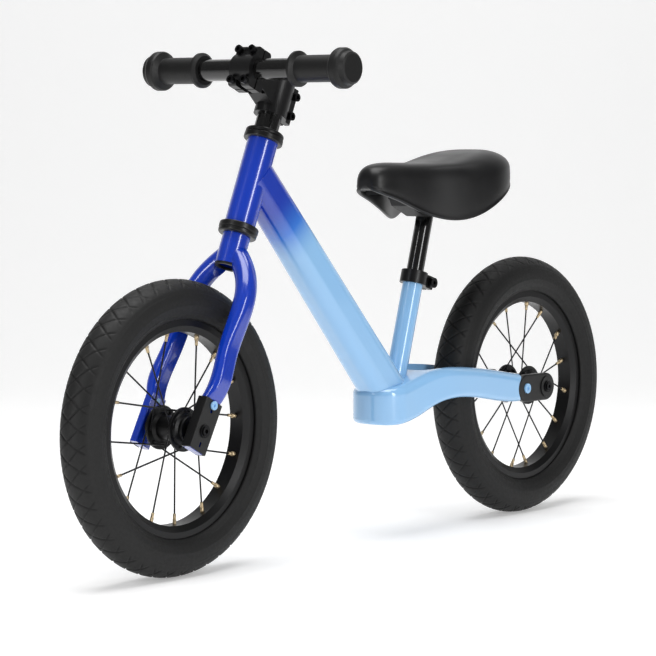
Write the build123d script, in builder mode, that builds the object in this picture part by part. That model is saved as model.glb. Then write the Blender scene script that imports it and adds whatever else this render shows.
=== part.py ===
from build123d import *
import os
from math import atan2, cos, degrees, radians, sin

# Balance bike with 12 inch wheels, in millimetres.
# Frame: +X forward, +Y to the rider's left, +Z up. The origin is on the ground,
# half way between the axles, in the middle plane. Every piece is drawn at rest.

# ---- driving dimensions ----
WHEELBASE = 586
TYRE_OUTER_RADIUS = 147
TYRE_SECTION_RADIUS = 22.25
RIM_EDGE_RADIUS = 108.5
RIM_HALF_WIDTH = 12.8
AXLE_HEIGHT = TYRE_OUTER_RADIUS
FRONT_AXLE_X = WHEELBASE / 2
REAR_AXLE_X = -WHEELBASE / 2

HEAD_TILT = 23.2              # steering axis from the vertical, leaning back
HEAD_X = 194.5                # point on the steering axis at the lower headset
HEAD_Z = 338
HEAD_TUBE_RADIUS = 15.8
HEAD_TUBE_BORE = 14.2
HEAD_TUBE_LENGTH = 91.4
HEADSET_RADIUS = 20.2
HEADSET_HEIGHT = 11
STEERER_RADIUS = 12.7
STEERER_BORE = 11.1
FORK_LEG_Y = 36.75

HANDLEBAR_LENGTH = 264
HANDLEBAR_RADIUS = 11.1
HANDLEBAR_WALL = 1.6
GRIP_LENGTH = 74
STEM_REACH = 46.8             # bar centre ahead of the steering axis
STEM_RISE = 155.8             # bar centre along the steering axis from the lower headset

DOWN_TUBE_ANGLE = 47.7        # slope below the horizontal, towards the back
SEAT_TUBE_TILT = 16.5         # from the vertical, leaning back
SEAT_TUBE_RADIUS = 11.1
SEAT_TUBE_BORE = 9.5
SEATPOST_RADIUS = 9.45
SEATPOST_LENGTH = 128

DROPOUT_INNER_Y = 30.5        # half the width between the dropouts
AXLE_RADIUS = 3.95
BEARING_OUTER_RADIUS = 11
BEARING_BORE_RADIUS = 4.0
BEARING_WIDTH = 7

SADDLE_NOSE_X = -9
SADDLE_TAIL_X = -230
SADDLE_HALF_WIDTH = 61.5

SPOKES_PER_FLANGE = 8

os.makedirs("parts", exist_ok=True)
SIDES = (("left", 1), ("right", -1))

# ---- working planes ----
# Steering plane: z runs up the steering axis, x forward, y to the left.
head_dir = Vector(-sin(radians(HEAD_TILT)), 0, cos(radians(HEAD_TILT)))
head_forward = Vector(cos(radians(HEAD_TILT)), 0, sin(radians(HEAD_TILT)))
head_point = Vector(HEAD_X, 0, HEAD_Z)
head_plane = Plane(origin=head_point, x_dir=head_forward, z_dir=head_dir)


def to_head(x, y, s):
    """A point given ahead of, left of and along the steering axis."""
    return head_point + head_forward * x + Vector(0, y, 0) + head_dir * s


def head_section(s, x=0.0, y=0.0):
    """A plane across the steering axis at height s along it."""
    return Plane(origin=to_head(x, y, s), x_dir=head_forward, z_dir=head_dir)


axle_rel = Vector(FRONT_AXLE_X, 0, AXLE_HEIGHT) - head_point
FORK_OFFSET = axle_rel.dot(head_forward)
FORK_DROP = -axle_rel.dot(head_dir)

# Seat plane: z runs up the seat tube from its foot.
seat_dir = Vector(-sin(radians(SEAT_TUBE_TILT)), 0, cos(radians(SEAT_TUBE_TILT)))
seat_forward = Vector(cos(radians(SEAT_TUBE_TILT)), 0, sin(radians(SEAT_TUBE_TILT)))
SEAT_FOOT_X = -66.6
SEAT_FOOT_Z = 178
seat_foot = Vector(SEAT_FOOT_X, 0, SEAT_FOOT_Z)
SEAT_TUBE_TOP = 100
COLLAR_HEIGHT = 14


def seat_section(s):
    """A plane across the seat tube at height s above its foot."""
    return Plane(origin=seat_foot + seat_dir * s, x_dir=seat_forward, z_dir=seat_dir)


UP = (Align.CENTER, Align.CENTER, Align.MIN)


# =====================================================================
# Rear yoke: the nose under the seat tube and the two arms to the rear axle
# =====================================================================
NOSE_RADIUS = 33
NOSE_X = -43
ARM_OUTER_Y = 40.5
ARM_END_X = -246
SLOT_FRONT_X = -88
SLOT_CORNER = 22
LOBE_RADIUS = 15.5
LOBE_X = -254.5
LOBE_Z = 147.5
TONGUE_THICK = 4
DROPOUT_OUTER_Y = 41
SCREW_RADIUS = 3
ARM_STRAIGHT_X = -135
YOKE_FRONT_X = -6
YOKE_REAR_X = -250
YOKE_HALF = 80
YOKE_TOP = [(YOKE_FRONT_X, 166), (-62, 171), (-96, 179.5), (-130, 180), (-190, 173.5), (YOKE_REAR_X, 164)]
YOKE_BOTTOM = [
    (YOKE_FRONT_X, 126), (-34, 124), (-66, 130.5), (-96, 142), (-130, 146.5), (-190, 139.5),
    (YOKE_REAR_X, 133.5),
]

with BuildPart() as rear_yoke:
    # plan: round nose, arms that widen and then run straight back
    with BuildSketch(Plane.XY.offset(YOKE_HALF)):
        with BuildLine():
            ThreePointArc((NOSE_X, -NOSE_RADIUS), (NOSE_X + NOSE_RADIUS, 0), (NOSE_X, NOSE_RADIUS))
            for sign in (1, -1):
                Spline(
                    (NOSE_X, sign * NOSE_RADIUS), (ARM_STRAIGHT_X, sign * ARM_OUTER_Y),
                    tangents=((-1, 0), (-1, 0)),
                )
            Polyline(
                (ARM_STRAIGHT_X, ARM_OUTER_Y), (ARM_END_X, ARM_OUTER_Y),
                (ARM_END_X, -ARM_OUTER_Y), (ARM_STRAIGHT_X, -ARM_OUTER_Y),
            )
        make_face()
    extrude(amount=2 * YOKE_HALF)
    # side: the swept line from the low nose up to the arms and down to the axle
    with BuildSketch(Plane.XZ):
        with BuildLine():
            Spline(*YOKE_TOP)
            Spline(*YOKE_BOTTOM)
            Line(YOKE_TOP[0], YOKE_BOTTOM[0])
            Line(YOKE_TOP[-1], YOKE_BOTTOM[-1])
        make_face()
    extrude(amount=YOKE_HALF, both=True, mode=Mode.INTERSECT)
    long_edges = rear_yoke.edges().filter_by(lambda e: e.length > 60 and abs(e.center().Y) > 1)
    fillet(long_edges.filter_by(lambda e: e.center().Z > 155), radius=9)
    low_edges = rear_yoke.edges().filter_by(lambda e: e.length > 60 and e.center().Z < 150)
    fillet(low_edges.filter_by(lambda e: abs(e.center().Y) > 34), radius=6)
    # slot for the rear tyre
    with BuildSketch(Plane.XY.offset(YOKE_HALF)):
        with Locations((SLOT_FRONT_X, 0)):
            RectangleRounded(
                400, 2 * DROPOUT_INNER_Y, SLOT_CORNER, align=(Align.MAX, Align.CENTER)
            )
    extrude(amount=2 * YOKE_HALF, mode=Mode.SUBTRACT)
    # each arm ends in a hollow curve round the dropout, with a thin tongue behind it
    with Locations((LOBE_X, 0, LOBE_Z)):
        Cylinder(LOBE_RADIUS + 0.5, 2 * YOKE_HALF, rotation=(90, 0, 0), mode=Mode.SUBTRACT)
    for side, sign in SIDES:
        tongue_y = sign * (DROPOUT_INNER_Y + TONGUE_THICK / 2)
        with BuildSketch(Plane.XZ.offset(-tongue_y)):
            with Locations((LOBE_X + 5, LOBE_Z)):
                SlotCenterToCenter(22, 2 * 13)
            with Locations((LOBE_X, LOBE_Z)):
                Circle(SCREW_RADIUS, mode=Mode.SUBTRACT)
        extrude(amount=TONGUE_THICK / 2, both=True)
rear_yoke.part.label = "rear_yoke"
export_step(rear_yoke.part, "parts/rear_yoke.step")

# =====================================================================
# Frame tubes
# =====================================================================
DOWN_START_X = 171.1
DOWN_START_Z = 394.1
DOWN_LENGTH = 318
DOWN_TOP_HIGH = 41
DOWN_TOP_WIDE = 33
DOWN_LOW_HIGH = 45.5
DOWN_LOW_WIDE = 42
DOWN_WALL = 1.8
down_dir = Vector(-cos(radians(DOWN_TUBE_ANGLE)), 0, -sin(radians(DOWN_TUBE_ANGLE)))
down_up = Vector(-sin(radians(DOWN_TUBE_ANGLE)), 0, cos(radians(DOWN_TUBE_ANGLE)))
down_start = Vector(DOWN_START_X, 0, DOWN_START_Z)


def down_section(s):
    """A plane across the down tube, s along it; its x is up out of the tube."""
    return Plane(origin=down_start + down_dir * s, x_dir=down_up, z_dir=down_dir)


HEAD_TUBE_BASE = HEADSET_HEIGHT / 2
with BuildPart() as head_tube:
    with BuildSketch(head_section(HEAD_TUBE_BASE)):
        Circle(HEAD_TUBE_RADIUS)
        Circle(HEAD_TUBE_BORE, mode=Mode.SUBTRACT)
    extrude(amount=HEAD_TUBE_LENGTH)
head_tube.part.label = "head_tube"
export_step(head_tube.part, "parts/head_tube.step")

with BuildPart() as down_tube:
    with BuildSketch(down_section(0)):
        RectangleRounded(DOWN_TOP_HIGH, DOWN_TOP_WIDE, 13)
    with BuildSketch(down_section(DOWN_LENGTH)):
        RectangleRounded(DOWN_LOW_HIGH, DOWN_LOW_WIDE, 15)
    loft()
    with BuildSketch(down_section(0)):
        RectangleRounded(DOWN_TOP_HIGH - 2 * DOWN_WALL, DOWN_TOP_WIDE - 2 * DOWN_WALL, 13 - DOWN_WALL)
    with BuildSketch(down_section(DOWN_LENGTH)):
        RectangleRounded(DOWN_LOW_HIGH - 2 * DOWN_WALL, DOWN_LOW_WIDE - 2 * DOWN_WALL, 15 - DOWN_WALL)
    loft(mode=Mode.SUBTRACT)
    # mitre round the head tube, and cut off where the yoke begins
    with BuildSketch(head_section(-40)):
        Circle(HEAD_TUBE_RADIUS)
    extrude(amount=200, mode=Mode.SUBTRACT)
    with BuildSketch(Plane.YZ.offset(NOSE_X - 48)):
        Rectangle(200, 1200)
    extrude(amount=-200, mode=Mode.SUBTRACT)
    add(rear_yoke.part, mode=Mode.SUBTRACT)
down_tube.part.label = "down_tube"
export_step(down_tube.part, "parts/down_tube.step")

COLLAR_BASE = 97.5
COLLAR_RADIUS = 14.6
COLLAR_EAR_X = -19
COLLAR_EAR_LONG = 17
COLLAR_EAR_HALF = 8
COLLAR_SLIT = 2.4
COLLAR_BOLT_X = -21.5
M5_RADIUS = 2.5

with BuildPart() as seat_tube:
    with BuildSketch(seat_section(-40)):
        Circle(SEAT_TUBE_RADIUS)
    extrude(amount=SEAT_TUBE_TOP + 40)
    with BuildSketch(seat_section(-1)):
        Circle(SEAT_TUBE_BORE)
    extrude(amount=SEAT_TUBE_TOP + 1, mode=Mode.SUBTRACT)
    # slit at the back of the top, so that the collar can close the tube on the post
    with Locations(seat_section(SEAT_TUBE_TOP)):
        with Locations((-SEAT_TUBE_RADIUS, 0, -13)):
            Box(8, COLLAR_SLIT, 26, mode=Mode.SUBTRACT)
    with BuildSketch(down_section(0)):
        RectangleRounded(DOWN_TOP_HIGH, DOWN_TOP_WIDE, 13)
    with BuildSketch(down_section(DOWN_LENGTH)):
        RectangleRounded(DOWN_LOW_HIGH, DOWN_LOW_WIDE, 15)
    loft(mode=Mode.SUBTRACT)
    add(rear_yoke.part, mode=Mode.SUBTRACT)
seat_tube.part.label = "seat_tube"
export_step(seat_tube.part, "parts/seat_tube.step")

with BuildPart() as seat_collar:
    with BuildSketch(seat_section(COLLAR_BASE)):
        Circle(COLLAR_RADIUS)
        with Locations((COLLAR_EAR_X, 0)):
            RectangleRounded(COLLAR_EAR_LONG, 2 * COLLAR_EAR_HALF, 2.5)
        Circle(SEAT_TUBE_RADIUS, mode=Mode.SUBTRACT)
        with Locations((COLLAR_EAR_X - 2, 0)):
            Rectangle(2 * COLLAR_EAR_LONG - 4, COLLAR_SLIT, mode=Mode.SUBTRACT)
    extrude(amount=COLLAR_HEIGHT)
    with Locations(seat_section(COLLAR_BASE + COLLAR_HEIGHT / 2)):
        with Locations((COLLAR_BOLT_X, 0, 0)):
            Cylinder(M5_RADIUS, 60, rotation=(90, 0, 0), mode=Mode.SUBTRACT)
seat_collar.part.label = "seat_collar"
export_step(seat_collar.part, "parts/seat_collar.step")

with BuildPart() as seat_collar_bolt:
    with Locations(seat_section(COLLAR_BASE + COLLAR_HEIGHT / 2)):
        with Locations((COLLAR_BOLT_X, 0, 0)):
            Cylinder(M5_RADIUS, 2 * COLLAR_EAR_HALF + 2, rotation=(90, 0, 0))
        with Locations((COLLAR_BOLT_X, COLLAR_EAR_HALF + 2.5, 0)):
            Cylinder(5.6, 5, rotation=(90, 0, 0))
        with Locations((COLLAR_BOLT_X, COLLAR_EAR_HALF + 4, 0)):
            Cylinder(2.2, 4, rotation=(90, 0, 0), mode=Mode.SUBTRACT)
        with Locations((COLLAR_BOLT_X, -COLLAR_EAR_HALF - 2, 0)):
            Cylinder(4.6, 4, rotation=(90, 0, 0))
seat_collar_bolt.part.label = "seat_collar_bolt"
export_step(seat_collar_bolt.part, "parts/seat_collar_bolt.step")

# =====================================================================
# Rear dropouts, axles and their bolts
# =====================================================================
AXLE_BOLT_FLANGE = 6.6
AXLE_BOLT_HEAD = 4.6
AXLE_BOLT_FACE = 2.6
BOSS_RADIUS = 12
LOCKNUT_RADIUS = 7.5
LOCKNUT_INNER_Y = 24.4
BOLT_SOCKET = 2.4
BOLT_DEPTH = 13


def cross_cylinder(x, z, radius, y_from, y_to, mode=Mode.ADD):
    """A cylinder along Y between two values of Y."""
    with Locations((x, (y_from + y_to) / 2, z)):
        Cylinder(radius, abs(y_to - y_from), rotation=(90, 0, 0), mode=mode)


for side, sign in SIDES:
    with BuildPart() as rear_dropout:
        with BuildSketch(Plane.XZ.offset(-sign * DROPOUT_OUTER_Y)):
            with BuildLine():
                tilt = atan2(LOBE_Z - AXLE_HEIGHT, LOBE_X - REAR_AXLE_X)
                for c_x, c_z, turn in ((LOBE_X, LOBE_Z, 0), (REAR_AXLE_X, AXLE_HEIGHT, 180)):
                    CenterArc((c_x, c_z), LOBE_RADIUS, degrees(tilt) - 90 + turn, 180)
                for turn in (-90, 90):
                    d_x = LOBE_RADIUS * cos(tilt + radians(turn))
                    d_z = LOBE_RADIUS * sin(tilt + radians(turn))
                    Line((LOBE_X + d_x, LOBE_Z + d_z), (REAR_AXLE_X + d_x, AXLE_HEIGHT + d_z))
            make_face()
        extrude(amount=sign * (DROPOUT_OUTER_Y - DROPOUT_INNER_Y - TONGUE_THICK))
        outer = rear_dropout.faces().sort_by(Axis.Y)[-1 if sign > 0 else 0]
        fillet(outer.edges(), radius=1.6)
        plate_inner = DROPOUT_INNER_Y + TONGUE_THICK
        cross_cylinder(REAR_AXLE_X, AXLE_HEIGHT, BOSS_RADIUS, sign * DROPOUT_INNER_Y, sign * plate_inner)
        cross_cylinder(
            REAR_AXLE_X, AXLE_HEIGHT, BOSS_RADIUS, sign * plate_inner, sign * (DROPOUT_OUTER_Y + 1.2)
        )
        cross_cylinder(REAR_AXLE_X, AXLE_HEIGHT, AXLE_RADIUS, sign * 20, sign * 60, mode=Mode.SUBTRACT)
        cross_cylinder(LOBE_X, LOBE_Z, SCREW_RADIUS, sign * 20, sign * 60, mode=Mode.SUBTRACT)
        cross_cylinder(
            LOBE_X, LOBE_Z, 6.2, sign * (DROPOUT_OUTER_Y - 1.5), sign * 60, mode=Mode.SUBTRACT
        )
    rear_dropout.part.label = f"rear_dropout_{side}"
    export_step(rear_dropout.part, f"parts/rear_dropout_{side}.step")

SCREW_HEAD = 5.6
with BuildPart() as rear_dropout_screws:
    for side, sign in SIDES:
        head_seat = DROPOUT_OUTER_Y - 1.5
        cross_cylinder(LOBE_X, LOBE_Z, SCREW_RADIUS, sign * DROPOUT_INNER_Y, sign * head_seat)
        cross_cylinder(LOBE_X, LOBE_Z, SCREW_HEAD, sign * head_seat, sign * (DROPOUT_OUTER_Y + 1.2))
        cross_cylinder(
            LOBE_X, LOBE_Z, 2, sign * DROPOUT_OUTER_Y, sign * (DROPOUT_OUTER_Y + 4), mode=Mode.SUBTRACT
        )
rear_dropout_screws.part.label = "rear_dropout_screws"
export_step(rear_dropout_screws.part, "parts/rear_dropout_screws.step")

for name, x, clamp_y in (("rear", REAR_AXLE_X, DROPOUT_OUTER_Y + 1.2), ("front", FRONT_AXLE_X, 42.5)):
    with BuildPart() as axle:
        cross_cylinder(x, AXLE_HEIGHT, AXLE_RADIUS, -clamp_y + 0.6, clamp_y - 0.6)
        for side, sign in SIDES:
            cross_cylinder(
                x, AXLE_HEIGHT, LOCKNUT_RADIUS, sign * LOCKNUT_INNER_Y, sign * DROPOUT_INNER_Y
            )
            cross_cylinder(
                x, AXLE_HEIGHT, M5_RADIUS, sign * (clamp_y - BOLT_DEPTH - 1), sign * 50, mode=Mode.SUBTRACT
            )
    axle.part.label = f"{name}_axle"
    export_step(axle.part, f"parts/{name}_axle.step")
    with BuildPart() as axle_bolts:
        for side, sign in SIDES:
            flange_y = clamp_y + 1.2
            head_y = clamp_y + AXLE_BOLT_FACE
            cross_cylinder(x, AXLE_HEIGHT, M5_RADIUS, sign * (clamp_y - BOLT_DEPTH), sign * clamp_y)
            cross_cylinder(x, AXLE_HEIGHT, AXLE_BOLT_FLANGE, sign * clamp_y, sign * flange_y)
            cross_cylinder(x, AXLE_HEIGHT, AXLE_BOLT_HEAD, sign * flange_y, sign * head_y)
            with BuildSketch(Plane.XZ.offset(-sign * head_y)):
                with Locations((x, AXLE_HEIGHT)):
                    RegularPolygon(BOLT_SOCKET, 6)
            extrude(amount=sign * 2.2, mode=Mode.SUBTRACT)
    axle_bolts.part.label = f"{name}_axle_bolts"
    export_step(axle_bolts.part, f"parts/{name}_axle_bolts.step")

# =====================================================================
# Headset: a bearing cup in each end of the head tube
# =====================================================================
CUP_LIP = 6.2
CUP_PRESS = 12
COVER_GAP = 0.35
BEARING_RING_RADIUS = 16.6
BEARING_RING_BORE = 13.1
UPPER_HEADSET = HEAD_TUBE_BASE + HEAD_TUBE_LENGTH
LOWER_HEADSET = HEAD_TUBE_BASE

for name, base, turn in (("upper", UPPER_HEADSET, 1), ("lower", LOWER_HEADSET, -1)):
    with BuildPart() as headset_cup:
        with BuildSketch(head_section(base)):
            Circle(HEADSET_RADIUS)
            Circle(BEARING_RING_RADIUS, mode=Mode.SUBTRACT)
        extrude(amount=turn * CUP_LIP)
        with BuildSketch(head_section(base - turn * CUP_PRESS)):
            Circle(HEAD_TUBE_BORE)
            Circle(BEARING_RING_BORE, mode=Mode.SUBTRACT)
        extrude(amount=turn * CUP_PRESS)
        with BuildSketch(head_section(base)):
            Circle(HEADSET_RADIUS)
            Circle(BEARING_RING_BORE, mode=Mode.SUBTRACT)
        extrude(amount=turn * 1.2)
        rim_edges = headset_cup.edges().filter_by(GeomType.CIRCLE).group_by(SortBy.RADIUS)[-1]
        fillet(rim_edges, radius=1.2)
    headset_cup.part.label = f"headset_cup_{name}"
    export_step(headset_cup.part, f"parts/headset_cup_{name}.step")
    with BuildPart() as headset_bearing:
        with BuildSketch(head_section(base + turn * 1.2)):
            Circle(BEARING_RING_RADIUS)
            Circle(BEARING_RING_BORE, mode=Mode.SUBTRACT)
        extrude(amount=turn * (CUP_LIP - 1.4))
    headset_bearing.part.label = f"headset_bearing_{name}"
    export_step(headset_bearing.part, f"parts/headset_bearing_{name}.step")
    with BuildPart() as headset_cover:
        with BuildSketch(head_section(base + turn * (CUP_LIP + COVER_GAP))):
            Circle(HEADSET_RADIUS - 0.4)
            Circle(STEERER_RADIUS, mode=Mode.SUBTRACT)
        extrude(amount=turn * (HEADSET_HEIGHT - CUP_LIP - COVER_GAP))
        far_edges = headset_cover.edges().filter_by(GeomType.CIRCLE).group_by(SortBy.RADIUS)[-1]
        far_edge = far_edges.sort_by(lambda e: (e.center() - head_point).dot(head_dir) * turn)[-1]
        fillet(far_edge, radius=2.2)
    label = "headset_top_cover" if name == "upper" else "crown_race"
    headset_cover.part.label = label
    export_step(headset_cover.part, f"parts/{label}.step")

# =====================================================================
# Fork
# =====================================================================
CROWN_TOP = HEAD_TUBE_BASE - HEADSET_HEIGHT
CROWN_BOTTOM = -37
CROWN_RADIUS = 14.2
STEERER_TOP = 160
LEG_X_TOP = -2.0
LEG_START = -26
LEG_SLOPE = (FORK_OFFSET - LEG_X_TOP) / (FORK_DROP + LEG_START)
TIP_THICK = 9.6
TIP_WIDE = 22.4
TIP_TOP = 32
TIP_BOTTOM = 21
SHOE_OUTER_Y = 42.5
SHOE_WIDE = 25.2
PLATE_WIDE = 15

with BuildPart() as steerer_tube:
    with BuildSketch(head_section(CROWN_BOTTOM + 6)):
        Circle(STEERER_RADIUS)
        Circle(STEERER_BORE, mode=Mode.SUBTRACT)
    extrude(amount=STEERER_TOP - CROWN_BOTTOM - 6)
steerer_tube.part.label = "steerer_tube"
export_step(steerer_tube.part, "parts/steerer_tube.step")

with BuildPart() as crown_plug:
    with BuildSketch(head_section(CROWN_BOTTOM - 2.4)):
        Circle(CROWN_RADIUS - 0.2)
        Circle(CROWN_RADIUS - 3.6, mode=Mode.SUBTRACT)
    extrude(amount=2.4)
crown_plug.part.label = "crown_plug"
export_step(crown_plug.part, "parts/crown_plug.step")


def leg_x(s):
    """How far ahead of the steering axis the leg's middle is, at s along that axis."""
    return LEG_X_TOP + LEG_SLOPE * (LEG_START - s)


axle_point = Vector(FRONT_AXLE_X, 0, AXLE_HEIGHT)
leg_dir = (head_forward * LEG_SLOPE - head_dir).normalized()
leg_forward = (head_forward + head_dir * LEG_SLOPE).normalized()
LEG_BEND = (
    # along the axis, out from the middle, lean from the axis, fore and aft, across, corner
    (-24, 6.0, 58, 21, 21, 10.4),
    (-40, 20.5, 45, 22, 22, 10.9),
    (-58, 31.2, 24, 22.4, 21, 10.4),
    (-86, 36.5, 4, 22.6, 18.5, 8.5),
    (-125, FORK_LEG_Y, 0, 22.8, 14, 6.0),
)
LEG_END_WIDE = 22.6
LEG_END_THICK = 11.4
LEG_END_CORNER = 4.8


def leg_section(t, y):
    """A plane across the lower leg, t below the axle along the leg."""
    return Plane(origin=axle_point + leg_dir * t + Vector(0, y, 0), x_dir=leg_forward, z_dir=leg_dir)


def leg_cross_cylinder(t, radius, y_from, y_to, mode=Mode.ADD):
    """A cylinder along Y through the lower leg, t below the axle along the leg."""
    spot = axle_point + leg_dir * t
    cross_cylinder(spot.X, spot.Z, radius, y_from, y_to, mode)


with BuildPart() as fork_crown:
    with BuildSketch(head_section(CROWN_BOTTOM)):
        Circle(CROWN_RADIUS)
        Circle(STEERER_RADIUS, mode=Mode.SUBTRACT)
    extrude(amount=CROWN_TOP - CROWN_BOTTOM)
fork_crown.part.label = "fork_crown"
export_step(fork_crown.part, "parts/fork_crown.step")

TIP_INNER_Y = DROPOUT_INNER_Y
TIP_MID_Y = TIP_INNER_Y + TIP_THICK / 2
TIP_OUTER_Y = TIP_INNER_Y + TIP_THICK
FORK_SCREW_T = -27.5
SMALL_HOLE_T = -21
SMALL_SLOT_T = 14
SMALL_HOLE_RADIUS = 1.7

for side, sign in SIDES:
    with BuildPart() as fork_leg:
        for s, y, lean, long, across, corner in LEG_BEND:
            normal = head_dir * -cos(radians(lean)) + Vector(0, sign * sin(radians(lean)), 0)
            spot = to_head(leg_x(s), sign * y, s)
            with BuildSketch(Plane(origin=spot, x_dir=head_forward, z_dir=normal)):
                RectangleRounded(long, across, corner)
        with BuildSketch(leg_section(-TIP_TOP, sign * (FORK_LEG_Y - 0.25))):
            RectangleRounded(LEG_END_WIDE, LEG_END_THICK, LEG_END_CORNER)
        loft()
        with BuildSketch(leg_section(-TIP_TOP, sign * TIP_MID_Y)):
            RectangleRounded(TIP_WIDE, TIP_THICK, 2)
        extrude(amount=TIP_TOP + TIP_BOTTOM)
        with BuildSketch(head_section(CROWN_BOTTOM - 40)):
            Circle(CROWN_RADIUS)
        extrude(amount=120, mode=Mode.SUBTRACT)
        leg_cross_cylinder(0, AXLE_RADIUS, sign * 20, sign * 60, Mode.SUBTRACT)
        leg_cross_cylinder(FORK_SCREW_T, M5_RADIUS, sign * 20, sign * 60, Mode.SUBTRACT)
    fork_leg.part.label = f"fork_leg_{side}"
    export_step(fork_leg.part, f"parts/fork_leg_{side}.step")

    # The left end wears a channel that wraps the leg's tip, the right end a flat plate outside it.
    label = "dropout_shoe_left" if sign > 0 else "dropout_plate_right"
    inner_y = TIP_INNER_Y if sign > 0 else TIP_OUTER_Y
    shoe_mid = (inner_y + SHOE_OUTER_Y) / 2
    shoe_wide = SHOE_WIDE if sign > 0 else PLATE_WIDE
    with BuildPart() as dropout_shoe:
        with BuildSketch(leg_section(-TIP_TOP, sign * shoe_mid)):
            Rectangle(shoe_wide, SHOE_OUTER_Y - inner_y)
        extrude(amount=TIP_TOP + TIP_BOTTOM)
        along = dropout_shoe.edges().filter_by(lambda e: abs(e.length - TIP_TOP - TIP_BOTTOM) < 0.1)
        fillet(along, radius=1.1)
        with BuildSketch(leg_section(-TIP_TOP - 1, sign * TIP_MID_Y)):
            RectangleRounded(TIP_WIDE, TIP_THICK, 2)
            Rectangle(TIP_WIDE, TIP_THICK - 4)
            with Locations((0, -sign * 2)):
                Rectangle(TIP_WIDE, TIP_THICK)
        extrude(amount=TIP_TOP + TIP_BOTTOM + 2, mode=Mode.SUBTRACT)
        leg_cross_cylinder(0, AXLE_RADIUS, sign * 20, sign * 60, Mode.SUBTRACT)
        leg_cross_cylinder(FORK_SCREW_T, M5_RADIUS, sign * 20, sign * 60, Mode.SUBTRACT)
        leg_cross_cylinder(
            SMALL_HOLE_T, SMALL_HOLE_RADIUS, sign * (SHOE_OUTER_Y - 2), sign * 60, Mode.SUBTRACT
        )
        for t in (SMALL_SLOT_T - 1.5, SMALL_SLOT_T, SMALL_SLOT_T + 1.5):
            leg_cross_cylinder(t, 1.2, sign * (SHOE_OUTER_Y - 2), sign * 60, Mode.SUBTRACT)
    dropout_shoe.part.label = label
    export_step(dropout_shoe.part, f"parts/{label}.step")

with BuildPart() as fork_screws:
    for side, sign in SIDES:
        leg_cross_cylinder(FORK_SCREW_T, M5_RADIUS, sign * TIP_INNER_Y, sign * SHOE_OUTER_Y)
        leg_cross_cylinder(FORK_SCREW_T, 4.4, sign * SHOE_OUTER_Y, sign * (SHOE_OUTER_Y + 1.6))
        leg_cross_cylinder(
            FORK_SCREW_T, 1.7, sign * (SHOE_OUTER_Y + 0.4), sign * (SHOE_OUTER_Y + 5), Mode.SUBTRACT
        )
fork_screws.part.label = "fork_screws"
export_step(fork_screws.part, "parts/fork_screws.step")

# =====================================================================
# Stem, handlebar and grips
# =====================================================================
STEM_BASE = 125
STEM_TOP = 163
STEM_CLAMP_RADIUS = 17
STEM_WIDE = 27
BAR_CLAMP_RADIUS = 16.5
EAR_S = 16.5
EAR_Y = 8.6
EAR_X = 11.2
SPLIT = 0.8
STEM_BOLT_RADIUS = 4.2
REAR_EAR_X = -18.8
REAR_EAR_LONG = 11
REAR_EAR_HALF = 9
REAR_BOLT_S = (133, 154)
head_side = Plane(origin=head_point, x_dir=head_forward, z_dir=(0, -1, 0))
bar_spot = to_head(STEM_REACH, 0, STEM_RISE)


def bar_clamp_half(turn):
    """One half of the clamp round the bar: turn +1 is the front plate, -1 the part on the stem."""
    with BuildSketch(head_side) as clamp:
        with Locations((STEM_REACH, STEM_RISE)):
            Circle(BAR_CLAMP_RADIUS)
            RectangleRounded(2 * EAR_X, 2 * EAR_S + 10, 3.5)
    extrude(clamp.sketch, amount=STEM_WIDE / 2, both=True)
    with BuildSketch(head_side) as other_half:
        with Locations((STEM_REACH + turn * (SPLIT - 20), STEM_RISE)):
            Rectangle(40, 80)
        with Locations((STEM_REACH, STEM_RISE)):
            Circle(HANDLEBAR_RADIUS)
    extrude(other_half.sketch, amount=STEM_WIDE, both=True, mode=Mode.SUBTRACT)
    # waist between the two rows of bolts
    with Locations(head_plane):
        for up in (1, -1):
            with Locations((STEM_REACH, 0, STEM_RISE + up * (EAR_S + 5))):
                Box(60, 6.5, 12, mode=Mode.SUBTRACT)


with BuildPart() as stem_body:
    bar_clamp_half(-1)
    with BuildSketch(head_side):
        with BuildLine():
            Polyline(
                (0, STEM_BASE + 5), (STEM_CLAMP_RADIUS - 4, STEM_BASE + 8), (STEM_REACH - 9, STEM_RISE - 13),
                (STEM_REACH - 9, STEM_RISE + 14), (STEM_CLAMP_RADIUS + 1, STEM_TOP), (0, STEM_TOP),
                close=True,
            )
        make_face()
    extrude(amount=STEM_WIDE / 2 - 2, both=True)
    with BuildSketch(head_section(STEM_BASE)):
        Circle(STEM_CLAMP_RADIUS)
        with Locations((REAR_EAR_X + 4, 0)):
            RectangleRounded(REAR_EAR_LONG + 8, 2 * REAR_EAR_HALF, 3)
    extrude(amount=STEM_TOP - STEM_BASE)
    with BuildSketch(head_section(STEM_BASE)):
        Circle(STEERER_RADIUS)
        with Locations((REAR_EAR_X, 0)):
            Rectangle(2 * REAR_EAR_LONG, 2.4)
    extrude(amount=STEM_TOP, mode=Mode.SUBTRACT)
    with BuildSketch(head_side):
        with Locations((STEM_REACH, STEM_RISE)):
            Circle(HANDLEBAR_RADIUS)
        with Locations((STEM_REACH - SPLIT + 30, STEM_RISE)):
            Rectangle(60, 90)
    extrude(amount=STEM_WIDE, both=True, mode=Mode.SUBTRACT)
    for s in REAR_BOLT_S:
        with Locations(head_plane):
            with Locations((REAR_EAR_X, 0, s)):
                Cylinder(M5_RADIUS, 60, rotation=(90, 0, 0), mode=Mode.SUBTRACT)
    for up in (1, -1):
        for left in (1, -1):
            with Locations(head_plane):
                with Locations((STEM_REACH, left * EAR_Y, STEM_RISE + up * EAR_S)):
                    Cylinder(M5_RADIUS, 40, rotation=(0, 90, 0), mode=Mode.SUBTRACT)
stem_body.part.label = "stem_body"
export_step(stem_body.part, "parts/stem_body.step")

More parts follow.
